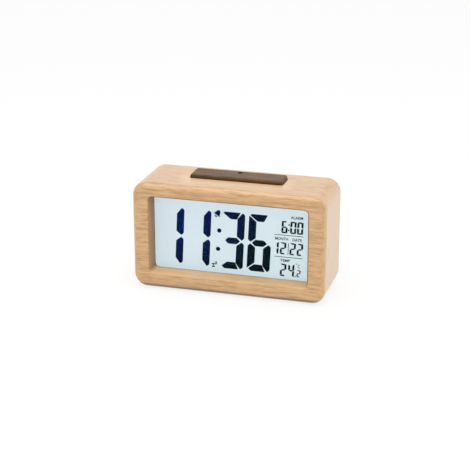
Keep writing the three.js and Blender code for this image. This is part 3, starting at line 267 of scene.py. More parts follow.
def apply_modifier(piece, kind, **settings):
    only(piece)
    modifier = piece.modifiers.new(kind.lower(), kind)
    for name, value in settings.items():
        setattr(modifier, name, value)
    bpy.ops.object.modifier_apply(modifier=modifier.name)
    return piece


def combine(piece, operation, others):
    for other in others:
        apply_modifier(piece, "BOOLEAN", operation=operation, solver="EXACT", object=other)
        bpy.data.objects.remove(other)
    return piece


def carve(piece, *tools):
    return combine(piece, "DIFFERENCE", tools)


def fuse(piece, *others):
    return combine(piece, "UNION", others)


def gather(name, pieces):
    bpy.ops.object.select_all(action="DESELECT")
    for piece in pieces:
        piece.select_set(True)
    bpy.context.view_layer.objects.active = pieces[0]
    if len(pieces) > 1:
        bpy.ops.object.join()
    return named(name)


def twin(piece, name):
    copy = piece.copy()
    copy.data = piece.data.copy()
    copy.name = name
    bpy.context.scene.collection.objects.link(copy)
    return copy


def smooth(piece, angle=35):
    only(piece)
    bpy.ops.object.shade_smooth_by_angle(angle=math.radians(angle))
    return apply_modifier(piece, "WEIGHTED_NORMAL", keep_sharp=True, weight=NORMAL_WEIGHT)


def soften(piece, width, segments=2, angle=40):
    edit(piece)
    bpy.ops.mesh.remove_doubles(threshold=MERGE * MM)
    bpy.ops.mesh.dissolve_degenerate(threshold=MERGE * MM)
    bpy.ops.mesh.select_all(action="SELECT")
    bpy.ops.mesh.dissolve_limited(angle_limit=math.radians(FLAT))
    bpy.ops.object.mode_set(mode="OBJECT")
    return apply_modifier(
        piece, "BEVEL", width=width * MM, segments=segments, limit_method="ANGLE",
        angle_limit=math.radians(angle), use_clamp_overlap=False)


# A round piece from one disc, drawn out ring by ring: each ring is (radius, place along the axis)
def turn_piece(name, rings, sides=48):
    radius, place = rings[0]
    bpy.ops.mesh.primitive_circle_add(
        vertices=sides, radius=radius * MM, fill_type="NGON", location=(0, 0, place * MM))
    piece = named(name)
    edit(piece)
    for next_radius, next_place in rings[1:]:
        step = (0, 0, (next_place - place) * MM)
        bpy.ops.mesh.extrude_region_move(TRANSFORM_OT_translate={"value": step})
        share = next_radius / radius
        bpy.ops.transform.resize(value=(share, share, 1), center_override=(0, 0, next_place * MM))
        radius, place = next_radius, next_place
    return close(piece)


def stand(piece, x, depth, height, turn=(0, 0, 0)):
    piece.rotation_euler = turn
    piece.location = spot(x, depth, height)
    return settle(piece)


# Finishes
class Finish:
    def __init__(self, name, **sockets):
        self.material = bpy.data.materials.new(name)
        self.material.use_nodes = True
        self.tree = self.material.node_tree
        self.shader = self.tree.nodes["Principled BSDF"]
        for socket, value in sockets.items():
            self.shader.inputs[socket.replace("_", " ")].default_value = value

    def node(self, kind, sockets=None, **settings):
        node = self.tree.nodes.new(kind)
        for name, value in settings.items():
            setattr(node, name, value)
        for name, value in (sockets or {}).items():
            if isinstance(value, bpy.types.NodeSocket):
                self.tree.links.new(value, node.inputs[name])
            else:
                node.inputs[name].default_value = value
        return node

    def place(self, scale=(1, 1, 1), location=(0, 0, 0), rotation=(0, 0, 0)):
        where = self.node("ShaderNodeTexCoord").outputs["Object"]
        mapping = {"Vector": where, "Scale": scale, "Location": location, "Rotation": rotation}
        return self.node("ShaderNodeMapping", mapping).outputs["Vector"]

    def axes(self, scale=(1, 1, 1)):
        return self.node("ShaderNodeSeparateXYZ", {"Vector": self.place(scale)}).outputs

    # Noise with so many spots to a metre, the same each way or along x, y and z
    def noise(self, fineness, detail=2.0, roughness=0.5, location=(0, 0, 0)):
        scale = fineness if isinstance(fineness, tuple) else (fineness,) * 3
        texture = self.node("ShaderNodeTexNoise", {
            "Vector": self.place(scale, location), "Scale": 1.0, "Detail": detail, "Roughness": roughness})
        return texture.outputs["Fac"]

    def attribute(self, name):
        return self.node("ShaderNodeAttribute", attribute_name=name).outputs["Fac"]

    def ramp(self, amount, stops):
        node = self.node("ShaderNodeValToRGB", {"Fac": amount})
        while len(node.color_ramp.elements) < len(stops):
            node.color_ramp.elements.new(0.5)
        for element, (position, colour) in zip(node.color_ramp.elements, stops):
            element.position = position
            element.color = (*colour, 1)
        return node.outputs["Color"]

    def shift(self, amount, low, high, to_low, to_high):
        ends = {"From Min": low, "From Max": high, "To Min": to_low, "To Max": to_high}
        return self.node("ShaderNodeMapRange", {"Value": amount, **ends}).outputs["Result"]

    def joined(self, operation, *amounts):
        total = amounts[0]
        for amount in amounts[1:]:
            total = self.node("ShaderNodeMath", {0: total, 1: amount}, operation=operation).outputs[0]
        return total

    def mix(self, amount, *colours):
        a, b = (colour if isinstance(colour, bpy.types.NodeSocket) else (*colour, 1) for colour in colours)
        return self.node("ShaderNodeMix", {0: amount, 6: a, 7: b}, data_type="RGBA").outputs[2]

    def feed(self, socket, value):
        self.tree.links.new(value, self.shader.inputs[socket])

    def bump(self, height, strength, distance):
        sockets = {"Height": height, "Strength": strength, "Distance": distance * MM}
        self.feed("Normal", self.node("ShaderNodeBump", sockets).outputs["Normal"])


# Where the painted shade and painted light of the case's recess, underside and top fade in and out
SILL_FADE = (-25.5, -27.0)
ROOF_FADE = (17.0, 27.0)
LIP_ACROSS = (53.0, 55.3)
LIP_DEPTH = (1.4, 3.0)
LIP_FOOT = (-26.0, -22.0)
SEAM_DEPTH = (10.0, 12.0)
EDGE_DEPTH = (9.3, 11.2)
UNDER_FADE = (-35.1, -36.4)
UNDER_DEPTH = (3.0, 7.0)
PAINTED_LIGHT_TOP = (CASE_TOP - 0.9, CASE_TOP - 0.1)
PAINTED_LIGHT_FRONT = (3.0, BAR_FRONT)
PAINTED_LIGHT_BACK = (BAR_BACK, BAR_FRONT + 1)
PAINTED_LIGHT_RIGHT = (BAR_HALF + 9, BAR_HALF - 4)
PAINTED_LIGHT_LEFT = (-BAR_HALF - 9, -BAR_HALF + 4)


# The display recess is raw wood with painted light on its sill and painted shade under the top rail, at the
# right lip and towards the lens. The front has painted shade where it turns under the case. The top has
# painted light before the bar, in place of the bar's shadow and reflection.
def paint_light_and_shade(finish, colour, raw, shade, sill):
    place = finish.axes()

    def fade(axis, ends, shares=(0.0, 1.0)):
        low, high = ((end + ORIGIN[axis]) * MM for end in ends)
        return finish.shift(place[axis], low, high, *shares)

    # The sill gets painted light; the painted shade on the walls stops above it
    above_sill = fade("Z", SILL_FADE, (1.0, 0.0))
    on_sill = finish.joined("MULTIPLY", fade("Z", SILL_FADE, (0.0, 0.6)), raw)
    # Painted shade under the top rail, at the right lip, on the walls and towards the lens
    roof = fade("Z", ROOF_FADE, (0.0, 0.8))
    lip = finish.joined(
        "MULTIPLY", fade("X", LIP_ACROSS, (0.0, 0.85)), fade("Y", LIP_DEPTH, (1.0, 0.0)), fade("Z", LIP_FOOT))
    walls = finish.joined("MULTIPLY", fade("Y", (0, RECESS_DEPTH), (0.42, 0.64)), above_sill)
    seam = fade("Y", SEAM_DEPTH, (0.0, 0.6))
    edge = finish.joined("MULTIPLY", fade("Y", EDGE_DEPTH, (0.0, 0.88)), above_sill)
    shaded = finish.joined("MAXIMUM", roof, lip, walls, seam, edge)
    inside = finish.joined("MULTIPLY", shaded, finish.shift(raw, 0.0, 0.6, 0.0, 1.0))
    # Painted shade where the front turns under the case
    under = finish.joined("MULTIPLY", fade("Z", UNDER_FADE, (0.0, 0.95)), fade("Y", UNDER_DEPTH, (1.0, 0.0)))
    # Painted light on the top before the bar, where the bar's shadow and reflection fall
    painted_light = finish.joined(
        "MULTIPLY", fade("Z", PAINTED_LIGHT_TOP), fade("Y", PAINTED_LIGHT_FRONT, (0.0, 0.85)), fade("Y", PAINTED_LIGHT_BACK),
        fade("X", PAINTED_LIGHT_LEFT), fade("X", PAINTED_LIGHT_RIGHT))
    lit = finish.mix(painted_light, finish.mix(on_sill, colour, sill), sill)
    return finish.mix(finish.joined("MAXIMUM", inside, under), lit, shade)


# How fine the wood's figure is along x, y and z: the grain runs along x, and the pores show on the ends
STREAKS = (20, 380, 380)
DASHES = (105, 1150, 1150)
FIBRES = (110, 2600, 2600)
FLECKS = (210, 1500, 1500)
PORES = (800, 640, 75)
BAND_WAVE = {"Scale": 30.0, "Distortion": 5.0, "Detail": 3.0, "Detail Scale": 0.8, "Detail Roughness": 0.55}
BAR_SIDE_SHADE = (BAR_TOP - 0.3, BAR_TOP - 1.1)
RAW_ROUGHNESS = 0.7


# Wood with growth bands, streaks, fibres and short ray flecks under a satin oil. Only the case has raw wood,
# with painted light and shade; the bar has painted shade down its sides.
def wood(name, tones, ends, roughness, fleck_share, gloss, coat, painted_tones=None):
    pale, mellow, dark, fleck = tones
    finish = Finish(name, Specular_IOR_Level=gloss, Coat_Weight=coat, Coat_Roughness=0.34)
    along_grain = finish.place(scale=(0.22, 1, 1), location=(0.01, 0.03, 0.09), rotation=(0.03, 0.05, 0.02))
    bands = finish.node(
        "ShaderNodeTexWave", {"Vector": along_grain, **BAND_WAVE}, wave_type="RINGS",
        rings_direction="X").outputs["Fac"]
    streaks = finish.noise(STREAKS, 4.0, 0.6)
    dashes = finish.noise(DASHES)
    fibres = finish.noise(FIBRES, 3.0, 0.6)
    flecks = finish.noise(FLECKS, 1.0, location=(0.3, 0.1, 0.2))
    pores = finish.noise(PORES, 3.0, 0.6)
    tone = finish.ramp(
        finish.shift(streaks, 0.32, 0.7, 0.0, 1.0), [(0.0, dark), (0.4, mellow), (1.0, pale)])
    rings = finish.ramp(bands, [(0.0, dark), (0.6, mellow), (1.0, pale)])
    banded = finish.mix(0.22, tone, rings)
    light = finish.mix(finish.shift(dashes, 0.5, 0.66, 0.0, 0.85), banded, pale)
    dashed = finish.mix(finish.shift(dashes, 0.47, 0.3, 0.0, 1.0), light, dark)
    fibred = finish.mix(finish.shift(fibres, 0.4, 0.75, 0.0, 0.35), dashed, dark)
    flecked = finish.mix(finish.shift(flecks, 0.63, 0.74, 0.0, fleck_share), fibred, fleck)
    closed = finish.ramp(
        finish.shift(pores, 0.25, 0.65, 0.0, 1.0), list(zip((0.0, 0.35, 1.0), reversed(ends))))
    end_grain = finish.shift(finish.attribute("end_grain"), 0.3, 0.85, 0.0, 0.88)
    colour = finish.mix(end_grain, flecked, closed)
    if painted_tones:
        raw = finish.attribute("raw_wood_light_and_shade")
        # Painted light and shade of the case, in and around the recess
        colour = paint_light_and_shade(finish, colour, raw, *painted_tones)
        finish.feed("Coat Weight", finish.shift(raw, 0.0, 0.8, coat, 0.0))
        finish.feed("Roughness", finish.shift(raw, 0.0, 0.8, roughness, RAW_ROUGHNESS))
    else:
        # Painted shade down the bar's sides
        upper, lower = (spot(0, 0, height).z for height in BAR_SIDE_SHADE)
        colour = finish.mix(finish.shift(finish.axes()["Z"], upper, lower, 0.0, 0.65), colour, dark)
        finish.feed("Roughness", finish.shift(fibres, 0.3, 0.75, roughness - 0.04, roughness + 0.08))
    finish.feed("Base Color", colour)
    finish.bump(fibres, 0.1, 0.05)
    return finish.material


# Moulded plastic with a fine spark texture
def moulded(name, colour, tint, roughness, grain=900.0, relief=0.25):
    finish = Finish(name)
    speckle = finish.noise(grain, 3.0, 0.6)
    drift = finish.noise(35.0)
    base = finish.mix(finish.shift(drift, 0.3, 0.7, 0.0, 0.7), colour, tint)
    finish.feed("Base Color", finish.mix(finish.shift(speckle, 0.4, 0.75, 0.0, 0.35), base, tint))
    finish.feed("Roughness", finish.shift(speckle, 0.3, 0.7, roughness - 0.06, roughness + 0.08))
    finish.bump(speckle, relief, 0.05)
    return finish.material


# Plated metal with drawn or rolled streaks along one axis
def plated(name, colour, tint, roughness, streak):
    finish = Finish(name, Metallic=1.0)
    drawn = finish.noise(streak, 3.0, 0.6)
    drift = finish.noise(120.0)
    finish.feed("Base Color", finish.mix(finish.shift(drift, 0.3, 0.7, 0.0, 0.8), colour, tint))
    finish.feed("Roughness", finish.shift(drawn, 0.3, 0.7, roughness - 0.08, roughness + 0.12))
    finish.bump(drawn, 0.08, 0.02)
    return finish.material


# Clear plastic or glass: almost nothing of its own shows but a little dust
def clear(name, colour, dusty, share):
    finish = Finish(name, Roughness=0.08, Specular_IOR_Level=0.2)
    dust = finish.noise(500.0, 4.0, 0.7)
    finish.feed("Base Color", finish.mix(finish.shift(dust, 0.4, 0.8, 0.0, 0.4), colour, dusty))
    finish.feed("Alpha", finish.shift(dust, 0.5, 0.9, share, share * 2.5))
    return finish.material


# The lit panel behind the figures: a pale blue-white that drifts across its width and height
def lit_panel():
    left, right, low = (0.72, 0.80, 0.90), (0.70, 0.84, 0.89), (0.685, 0.83, 0.87)
    cloud, cell = (0.78, 0.87, 0.92), (0.62, 0.73, 0.79)
    near_left, near_right = -56 * MM, 56 * MM
    upper, lower = (spot(0, 0, height).z for height in (24.45, -26.55))
    finish = Finish("lit_panel", Roughness=0.5, Emission_Strength=0.745, Specular_IOR_Level=0.2)
    place = finish.axes()
    cells = finish.noise(2600.0)
    clouds = finish.noise(45.0)
    across = finish.mix(finish.shift(place["X"], near_left, near_right, 0.0, 1.0), left, right)
    falling = finish.mix(finish.shift(place["Z"], upper, lower, 0.0, 0.8), across, low)
    cloudy = finish.mix(finish.shift(clouds, 0.35, 0.7, 0.0, 0.25), falling, cloud)
    final = finish.mix(finish.shift(cells, 0.35, 0.75, 0.0, 0.12), cloudy, cell)
    finish.feed("Base Color", finish.mix(0.7, final, (0.0, 0.0, 0.0)))
    finish.feed("Emission Color", final)
    finish.bump(cells, 0.05, 0.02)
    return finish.material


# Dark figures, navy at the upper left and near black at the lower right
def dark_figures(name, blue, black):
    slant, upper_left, lower_right = -1.1, 0.088, 0.015
    finish = Finish(name, Roughness=0.6, Specular_IOR_Level=0.02)
    place = finish.axes((slant, 1, 1))
    fall = finish.joined("ADD", place["X"], place["Z"])
    grain = finish.noise(1500.0)
    tone = finish.mix(finish.shift(fall, upper_left, lower_right, 0.0, 1.0), blue, black)
    speck = finish.shift(grain, 0.4, 0.8, 0.0, 0.2)
    finish.feed("Base Color", finish.mix(speck, tone, (0.003, 0.011, 0.03)))
    return finish.material


# Lacquered circuit board with etched tracks under the lacquer
def lacquered_board():
    finish = Finish("lacquered_board", Specular_IOR_Level=0.5)
    upright = finish.place(rotation=(math.pi / 2, 0, 0))
    tracks = finish.node("ShaderNodeTexBrick", {
        "Vector": upright, "Scale": 220.0, "Mortar Size": 0.06, "Color1": (0.018, 0.11, 0.045, 1),
        "Color2": (0.022, 0.13, 0.05, 1), "Mortar": (0.05, 0.24, 0.09, 1)}).outputs
    weave = finish.noise(1800.0)
    woven = finish.shift(weave, 0.4, 0.8, 0.0, 0.3)
    finish.feed("Base Color", finish.mix(woven, tracks["Color"], (0.012, 0.08, 0.03)))
    finish.feed("Roughness", finish.shift(weave, 0.3, 0.7, 0.28, 0.45))
    finish.bump(tracks["Fac"], 0.3, 0.03)
    return finish.material


# Two colours, then the roughness and, where they differ, how fine and how deep the texture is
MOULDED = {
    "cover_plastic": ((0.045, 0.03, 0.022), (0.06, 0.042, 0.032), 0.5),
    "button_plastic": ((0.02, 0.015, 0.012), (0.03, 0.023, 0.019), 0.4, 1400.0, 0.12),
    "white_plastic": ((0.78, 0.78, 0.75), (0.70, 0.70, 0.67), 0.45),
    "black_resin": ((0.012, 0.012, 0.014), (0.022, 0.022, 0.025), 0.45, 1600.0, 0.15),
    "foot_rubber": ((0.02, 0.02, 0.02), (0.032, 0.031, 0.03), 0.75, 1300.0, 0.3),
    "red_sleeve": ((0.40, 0.02, 0.015), (0.33, 0.015, 0.012), 0.4, 1200.0, 0.1),
    "black_sleeve": ((0.014, 0.014, 0.016), (0.025, 0.025, 0.028), 0.4, 1200.0, 0.1),
    "grey_sleeve": ((0.27, 0.29, 0.31), (0.22, 0.24, 0.26), 0.45, 1200.0, 0.1),
    "cell_jacket": ((0.05, 0.09, 0.12), (0.065, 0.11, 0.145), 0.3, 1500.0, 0.06),
    "cell_band": ((0.42, 0.20, 0.08), (0.36, 0.165, 0.06), 0.3, 1500.0, 0.06),
    "label_paint": ((0.62, 0.58, 0.52), (0.54, 0.50, 0.45), 0.55, 1500.0, 0.1),
    "smoked_lens": ((0.012, 0.008, 0.006), (0.02, 0.013, 0.009), 0.5, 1800.0, 0.05),
}
PLATED = {
    "steel": ((0.58, 0.59, 0.61), (0.50, 0.51, 0.53), 0.3, (2000, 300, 300)),
    "brass": ((0.62, 0.43, 0.15), (0.54, 0.36, 0.12), 0.32, (600, 600, 600)),
}
CLEAR = {
    "clear_lens": ((0.20, 0.23, 0.27), (0.5, 0.53, 0.56), 0.004),
    "display_glass": ((0.18, 0.22, 0.26), (0.4, 0.44, 0.47), 0.004),
}
INKS = {
    "figure_ink": ((0.0015, 0.014, 0.125), (0.001, 0.0115, 0.019)),
    "label_ink": ((0.05, 0.07, 0.11), (0.045, 0.065, 0.085)),
    "faint_ink": ((0.30, 0.38, 0.44), (0.30, 0.38, 0.42)),
}
FINISHES = {"circuit_board": lacquered_board(), "display_panel": lit_panel()}
for make, looks in ((moulded, MOULDED), (plated, PLATED), (clear, CLEAR), (dark_figures, INKS)):
    FINISHES.update({name: make(name, *look) for name, look in looks.items()})
# The last two beech colours are the painted shade and the painted light of the case
FINISHES["beech"] = wood(
    "beech", [(0.70, 0.428, 0.207), (0.60, 0.35, 0.149), (0.43, 0.233, 0.084), (0.33, 0.158, 0.05)],
    [(0.74, 0.465, 0.24), (0.65, 0.4, 0.188), (0.5, 0.285, 0.118)], roughness=0.32, fleck_share=0.4,
    gloss=0.5, coat=0.9, painted_tones=[(0.14, 0.08, 0.042), (0.90, 0.615, 0.345)])
FINISHES["dark_wood"] = wood(
    "dark_wood", [(0.165, 0.09, 0.034), (0.112, 0.057, 0.019), (0.066, 0.03, 0.009), (0.025, 0.01, 0.004)],
    [(0.28, 0.13, 0.06), (0.19, 0.082, 0.036), (0.11, 0.042, 0.016)], roughness=0.4, fleck_share=0.5,
    gloss=0.2, coat=0.0)
SLOTS = {"label_paint": "white_plastic", "cell_band": "brass", **dict.fromkeys(INKS, "display_panel")}
for subpart in frame["record"]["subparts"]:
    node = nodes[subpart["node"]]
    node.data.materials.clear()
    node.data.materials.append(FINISHES[subpart["material_slot"]])


def dress(piece, finish, body="case", stands_for=()):
    piece.data.materials.clear()
    piece.data.materials.append(FINISHES[finish])
    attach(piece, body)
    if stands_for:
        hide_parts(*stands_for)


# Wood shows its end grain where it faces sideways
def mark_end_grain(piece):
    end_grain = piece.data.attributes.new("end_grain", "FLOAT", "POINT")
    for vertex, end in zip(piece.data.vertices, end_grain.data):
        end.value = vertex.normal.x ** 2


# Beech case
PILOT_HOLE = 2.2
COVER_PILOT = (35.1, 46.0)
BRACKET_PILOT = (POCKET_HALF[1] - 1, POCKET_HALF[1] + 3.7)
SLOT_HALF = grown((BAR_HALF, (BAR_BACK - BAR_FRONT) / 2), GAP)
SLOT_CORNER = 2.3
SLOT_ROUND = 0.4
REAR_RIM_ROUND = 0.5
FOOT_SEAT = 9.2


# Raw wood fills the recess and fades out over the window's rounded edge; the same mask holds the recess's
# painted light and shade
def mark_raw_wood_light_and_shade(case):
    raw_wood_light_and_shade = case.data.attributes.new("raw_wood_light_and_shade", "FLOAT", "POINT")
    for vertex, raw in zip(case.data.vertices, raw_wood_light_and_shade.data):
        depth = vertex.co.y / MM - FRONT_FACE
        across = abs(vertex.co.x) / MM - WINDOW_HALF[0] + WINDOW_CORNER
        upward = abs(vertex.co.z / MM - WINDOW_MIDDLE) - WINDOW_HALF[1] + WINDOW_CORNER
        from_corner = math.hypot(across, upward) if min(across, upward) > 0 else max(across, upward)
        beyond = from_corner - WINDOW_CORNER
        if depth < RECESS_DEPTH + SKIN and beyond < WINDOW_ROUND - SKIN:
            raw.value = 1 - max(0, beyond) / WINDOW_ROUND


def make_case():
    case = slab("beech_case", CASE_HALF, CASE_CORNER, (0, CASE_DEPTH), height=CASE_MIDDLE, segments=16)
    round_edges(case, at(1, spot(0, 0, 0).y), FRONT_ROUND, 10)
    round_edges(case, at(1, spot(0, CASE_DEPTH, 0).y), REAR_ROUND, 6)
    behind = CASE_DEPTH + OVERCUT
    slot_middle = middle((BAR_FRONT, BAR_BACK))
    window = slab("window", WINDOW_HALF, WINDOW_CORNER, (-OVERCUT, RECESS_DEPTH + 2))
    pocket = slab("pocket", POCKET_HALF, POCKET_CORNER, (RECESS_DEPTH, behind), segments=12)
    ledge = slab("ledge", LEDGE_HALF, LEDGE_CORNER, (COVER_INNER, behind))
    slot = block(
        "slot", around(0, SLOT_HALF[0]), around(slot_middle, SLOT_HALF[1]),
        (POCKET_HALF[1] - 2, CASE_TOP + OVERCUT))
    round_edges(slot, along(2), SLOT_CORNER, 6)
    carve(case, window, pocket, ledge, slot)
    for x, height in sorted(SCREW_PLACES):
        carve(case, dowel("pilot", PILOT_HOLE, COVER_PILOT, x, height, sides=16))
    for side in ("left", "right"):
        x, depth, _ = middles(f"bracket_screw_{side}")
        carve(case, peg("pilot", PILOT_HOLE, BRACKET_PILOT, x, depth, sides=16))
    for x, depth in FOOT_PLACES:
        carve(case, peg("foot_seat", FOOT_SEAT, around(CASE_BOTTOM, 1), x, depth))
    window_rim = rim(spot(0, 0, 0), (WINDOW_HALF[0], 0, WINDOW_HALF[1]))
    slot_rim = rim(spot(0, slot_middle, CASE_TOP), (*SLOT_HALF, 0))
    rear_rim = rim(spot(0, CASE_DEPTH, 0), (LEDGE_HALF[0], 0, LEDGE_HALF[1]))
    round_edges(case, window_rim, WINDOW_ROUND, 6)
    round_edges(case, slot_rim, SLOT_ROUND, 3)
    round_edges(case, rear_rim, REAR_RIM_ROUND, 3)
    smooth(case)
    mark_end_grain(case)
    mark_raw_wood_light_and_shade(case)
    dress(case, "beech", stands_for=["wooden_case"])


FOOT_PROFILE = [(4.0, 0.25), (4.1, 0), (4.35, 0.05), (4.5, 0.25), (4.5, 1.5), (4.3, 1.8)]


def make_feet():
    foot = smooth(turn_piece("rubber_foot_1", FOOT_PROFILE, 40))
    feet = [foot] + [twin(foot, f"rubber_foot_{i}") for i in (2, 3, 4)]
    for i, (piece, (x, depth)) in enumerate(zip(feet, FOOT_PLACES), 1):
        stand(piece, x, depth, -WINDOW_MIDDLE)
        dress(piece, "foot_rubber", stands_for=[f"foot_{i}"])


# Snooze bar with its light eye
BAR_CORNER = 2.0
BAR_ROUND = 1.6
EYE_HOLE = 3.6
EYE_PROFILE = [(1.7, 0), (1.7, 4.3), (1.6, 4.45), (1.2, 4.52), (0.6, 4.55)]


def make_bar():
    eye_depth = middles("light_window")[1]
    bar = block("wooden_bar", *reach("snooze_bar"))
    round_edges(bar, along(2), BAR_CORNER, 8)
    round_edges(bar, at(2, spot(0, 0, BAR_TOP).z), BAR_ROUND, 8)
    carve(bar, peg("eye", EYE_HOLE, (BAR_BOTTOM - 2, BAR_TOP + 2), 0, eye_depth, sides=32))
    smooth(bar)
    mark_end_grain(bar)
    dress(bar, "dark_wood", "snooze", ["snooze_bar"])
    eye = turn_piece("light_eye", EYE_PROFILE, sides=32)
    smooth(stand(eye, 0, eye_depth, BAR_BOTTOM))
    dress(eye, "smoked_lens", "snooze", ["light_window"])


# Figures of seven strokes, drawn in stroke widths on a field of 3.33 by 8.54
FIELD = (3.33, 8.54)
LEAN = 0.047
STROKE_ROUND = 0.1
STROKES = {
    "a": [(0.14, 8.36), (0.38, 8.54), (2.66, 8.54), (2.17, 7.5), (1.26, 7.5)],
    "b": [(2.93, 8.5), (3.26, 8.28), (3.33, 8.1), (3.33, 4.76), (3.0, 4.4), (2.24, 5.0), (2.24, 7.6)],
    "c": [(2.93, 0.04), (2.24, 0.94), (2.24, 3.54), (3.0, 4.14), (3.33, 3.78), (3.33, 0.44), (3.26, 0.26)],
    "d": [(0.22, 0.38), (1.0, 1.04), (2.17, 1.04), (2.66, 0.0), (0.62, 0.0)],
    "e": [(0.0, 0.5), (0.06, 0.44), (1.09, 1.3), (1.09, 3.58), (0.36, 4.14), (0.0, 3.78)],
    "f": [(0.0, 4.76), (0.36, 4.4), (1.09, 4.96), (1.09, 7.42), (0.06, 8.26), (0.0, 8.2)],
    "g": [(0.58, 4.27), (1.04, 4.74), (2.26, 4.74), (2.76, 4.27), (2.26, 3.8), (1.04, 3.8)],
}
LIT = {"0": "abcdef", "1": "bc", "2": "abged", "3": "abgcd", "4": "fgbc", "6": "afgedc"}


def flat_piece(name, points, corner=0.0):
    bpy.ops.mesh.primitive_circle_add(vertices=len(points), fill_type="NGON")
    piece = named(name)
    edit(piece)
    skin = bmesh.from_edit_mesh(piece.data)
    for vertex, (x, y) in zip(skin.verts, points):
        vertex.co = (x, y, 0)
    bmesh.update_edit_mesh(piece.data)
    if corner:
        bpy.ops.mesh.bevel(offset=corner, segments=3, affect="VERTICES", clamp_overlap=True)
        bpy.ops.mesh.select_all(action="SELECT")
    bpy.ops.mesh.extrude_region_move(TRANSFORM_OT_translate={"value": (0, 0, 1)})
    return close(piece)


# Lays a flat piece, one unit thick, on the front of the panel
def on_panel(x, height, scale_x, scale_h, lean=0.0, centre=(0.0, 0.0)):
    thick = (INK_BACK - INK_FRONT) * MM
    lay = Matrix((
        (scale_x * MM, lean * scale_h * MM, 0, 0), (0, 0, -thick, 0), (0, scale_h * MM, 0, 0), (0, 0, 0, 1)))
    to_centre = Matrix.Translation((-centre[0], -centre[1], 0))
    return Matrix.Translation(spot(x, INK_BACK, height)) @ lay @ to_centre


stroke_shapes = {key: flat_piece(f"stroke_{key}", points, STROKE_ROUND) for key, points in STROKES.items()}


def figures(name, text, centres, height, size, ink="figure_ink"):
    scale_x, scale_h = (length / field for length, field in zip(size, FIELD))
    field_middle = (FIELD[0] / 2, FIELD[1] / 2)
    laid = []
    for figure, centre in zip(text, centres):
        for key in LIT[figure]:
            stroke = twin(stroke_shapes[key], f"{name}_{key}")
            stroke.data.transform(on_panel(centre, height, scale_x, scale_h, LEAN, field_middle))
            laid.append(stroke)
    dress(gather(name, laid), ink)


def dots(name, places, radius, ink="figure_ink"):
    laid = []
    for x, height in places:
        dot = flat_piece(name, circle(count=24))
        dot.data.transform(on_panel(x, height, radius, radius))
        laid.append(dot)
    dress(gather(name, laid), ink)


def rules(name, spans, ink):
    laid = []
    for (left, right), (foot, top) in spans:
        rule = flat_piece(name, [(0, 0), (1, 0), (1, 1), (0, 1)])
        lean = LEAN if top - foot > right - left else 0.0
        rule.data.transform(on_panel(left, foot, right - left, top - foot, lean))
        laid.append(rule)
    dress(gather(name, laid), ink)


LETTER_STEPS = 4
LETTER_BOLD = 0.02
LETTER_MERGE = 0.00001


def lettering(name, text, size, thick):
    bpy.ops.object.text_add()
    words = bpy.context.object
    words.data.body = text
    words.data.align_x = "CENTER"
    words.data.align_y = "CENTER"
    words.data.resolution_u = LETTER_STEPS
    words.data.extrude = 0.5
    words.data.offset = LETTER_BOLD
    bpy.ops.object.convert(target="MESH")
    words = named(name)
    edit(words)
    bpy.ops.mesh.remove_doubles(threshold=LETTER_MERGE)
    close(words)
    low = Vector([min(v.co[i] for v in words.data.vertices) for i in range(3)])
    high = Vector([max(v.co[i] for v in words.data.vertices) for i in range(3)])
    scales = [length * MM / side for length, side in zip((*size, thick), high - low)]
    words.data.transform(Matrix.Diagonal((*scales, 1)) @ Matrix.Translation(-(low + high) / 2))
    return words


def front_words(name, text, place, size, ink="label_ink"):
    thick = INK_BACK - INK_FRONT
    words = lettering(name, text, size, thick)
    stand(words, place[0], INK_FRONT + thick / 2, place[1], (math.pi / 2, 0, 0))
    dress(words, ink)


PAINT_THICKNESS = 0.25
PAINT_PROUD = 0.02


def rear_words(name, text, place, size, depth=COVER_OUTER, body="case"):
    words = lettering(name, text, size, PAINT_THICKNESS)
    stand(words, place[0], depth + PAINT_PROUD, place[1], (math.pi / 2, 0, math.pi))
    dress(words, "label_paint", body)


PANEL_CORNER = 7.4
BELL = [
    (-2.2, -0.9), (-1.6, -0.3), (-1.3, 0.9), (-0.8, 1.9), (-0.2, 2.3),
    (0.2, 2.3), (0.8, 1.9), (1.3, 0.9), (1.6, -0.3), (2.2, -0.9)]
CLAPPER = [(-1.0, -1.35), (1.0, -1.35), (0.6, -2.1), (-0.6, -2.1)]
BELL_TILT = math.radians(-32)
DOZE_LETTER = [
    (0, 1), (1, 1), (1, 0.76), (0.4, 0.24), (1, 0.24), (1, 0), (0, 0), (0, 0.24), (0.6, 0.76), (0, 0.76)]
DOZE_TILT = math.radians(12)


def make_panel():
    half = (panel_across[1], panel_height[1] - middle(panel_height))
    panel = slab(
        "lit_panel", half, PANEL_CORNER, (PANEL_FRONT, PANEL_BACK), height=middle(panel_height), segments=12)
    smooth(soften(panel, width=0.1))
    dress(panel, "display_panel", stands_for=["lcd_rear_glass"])


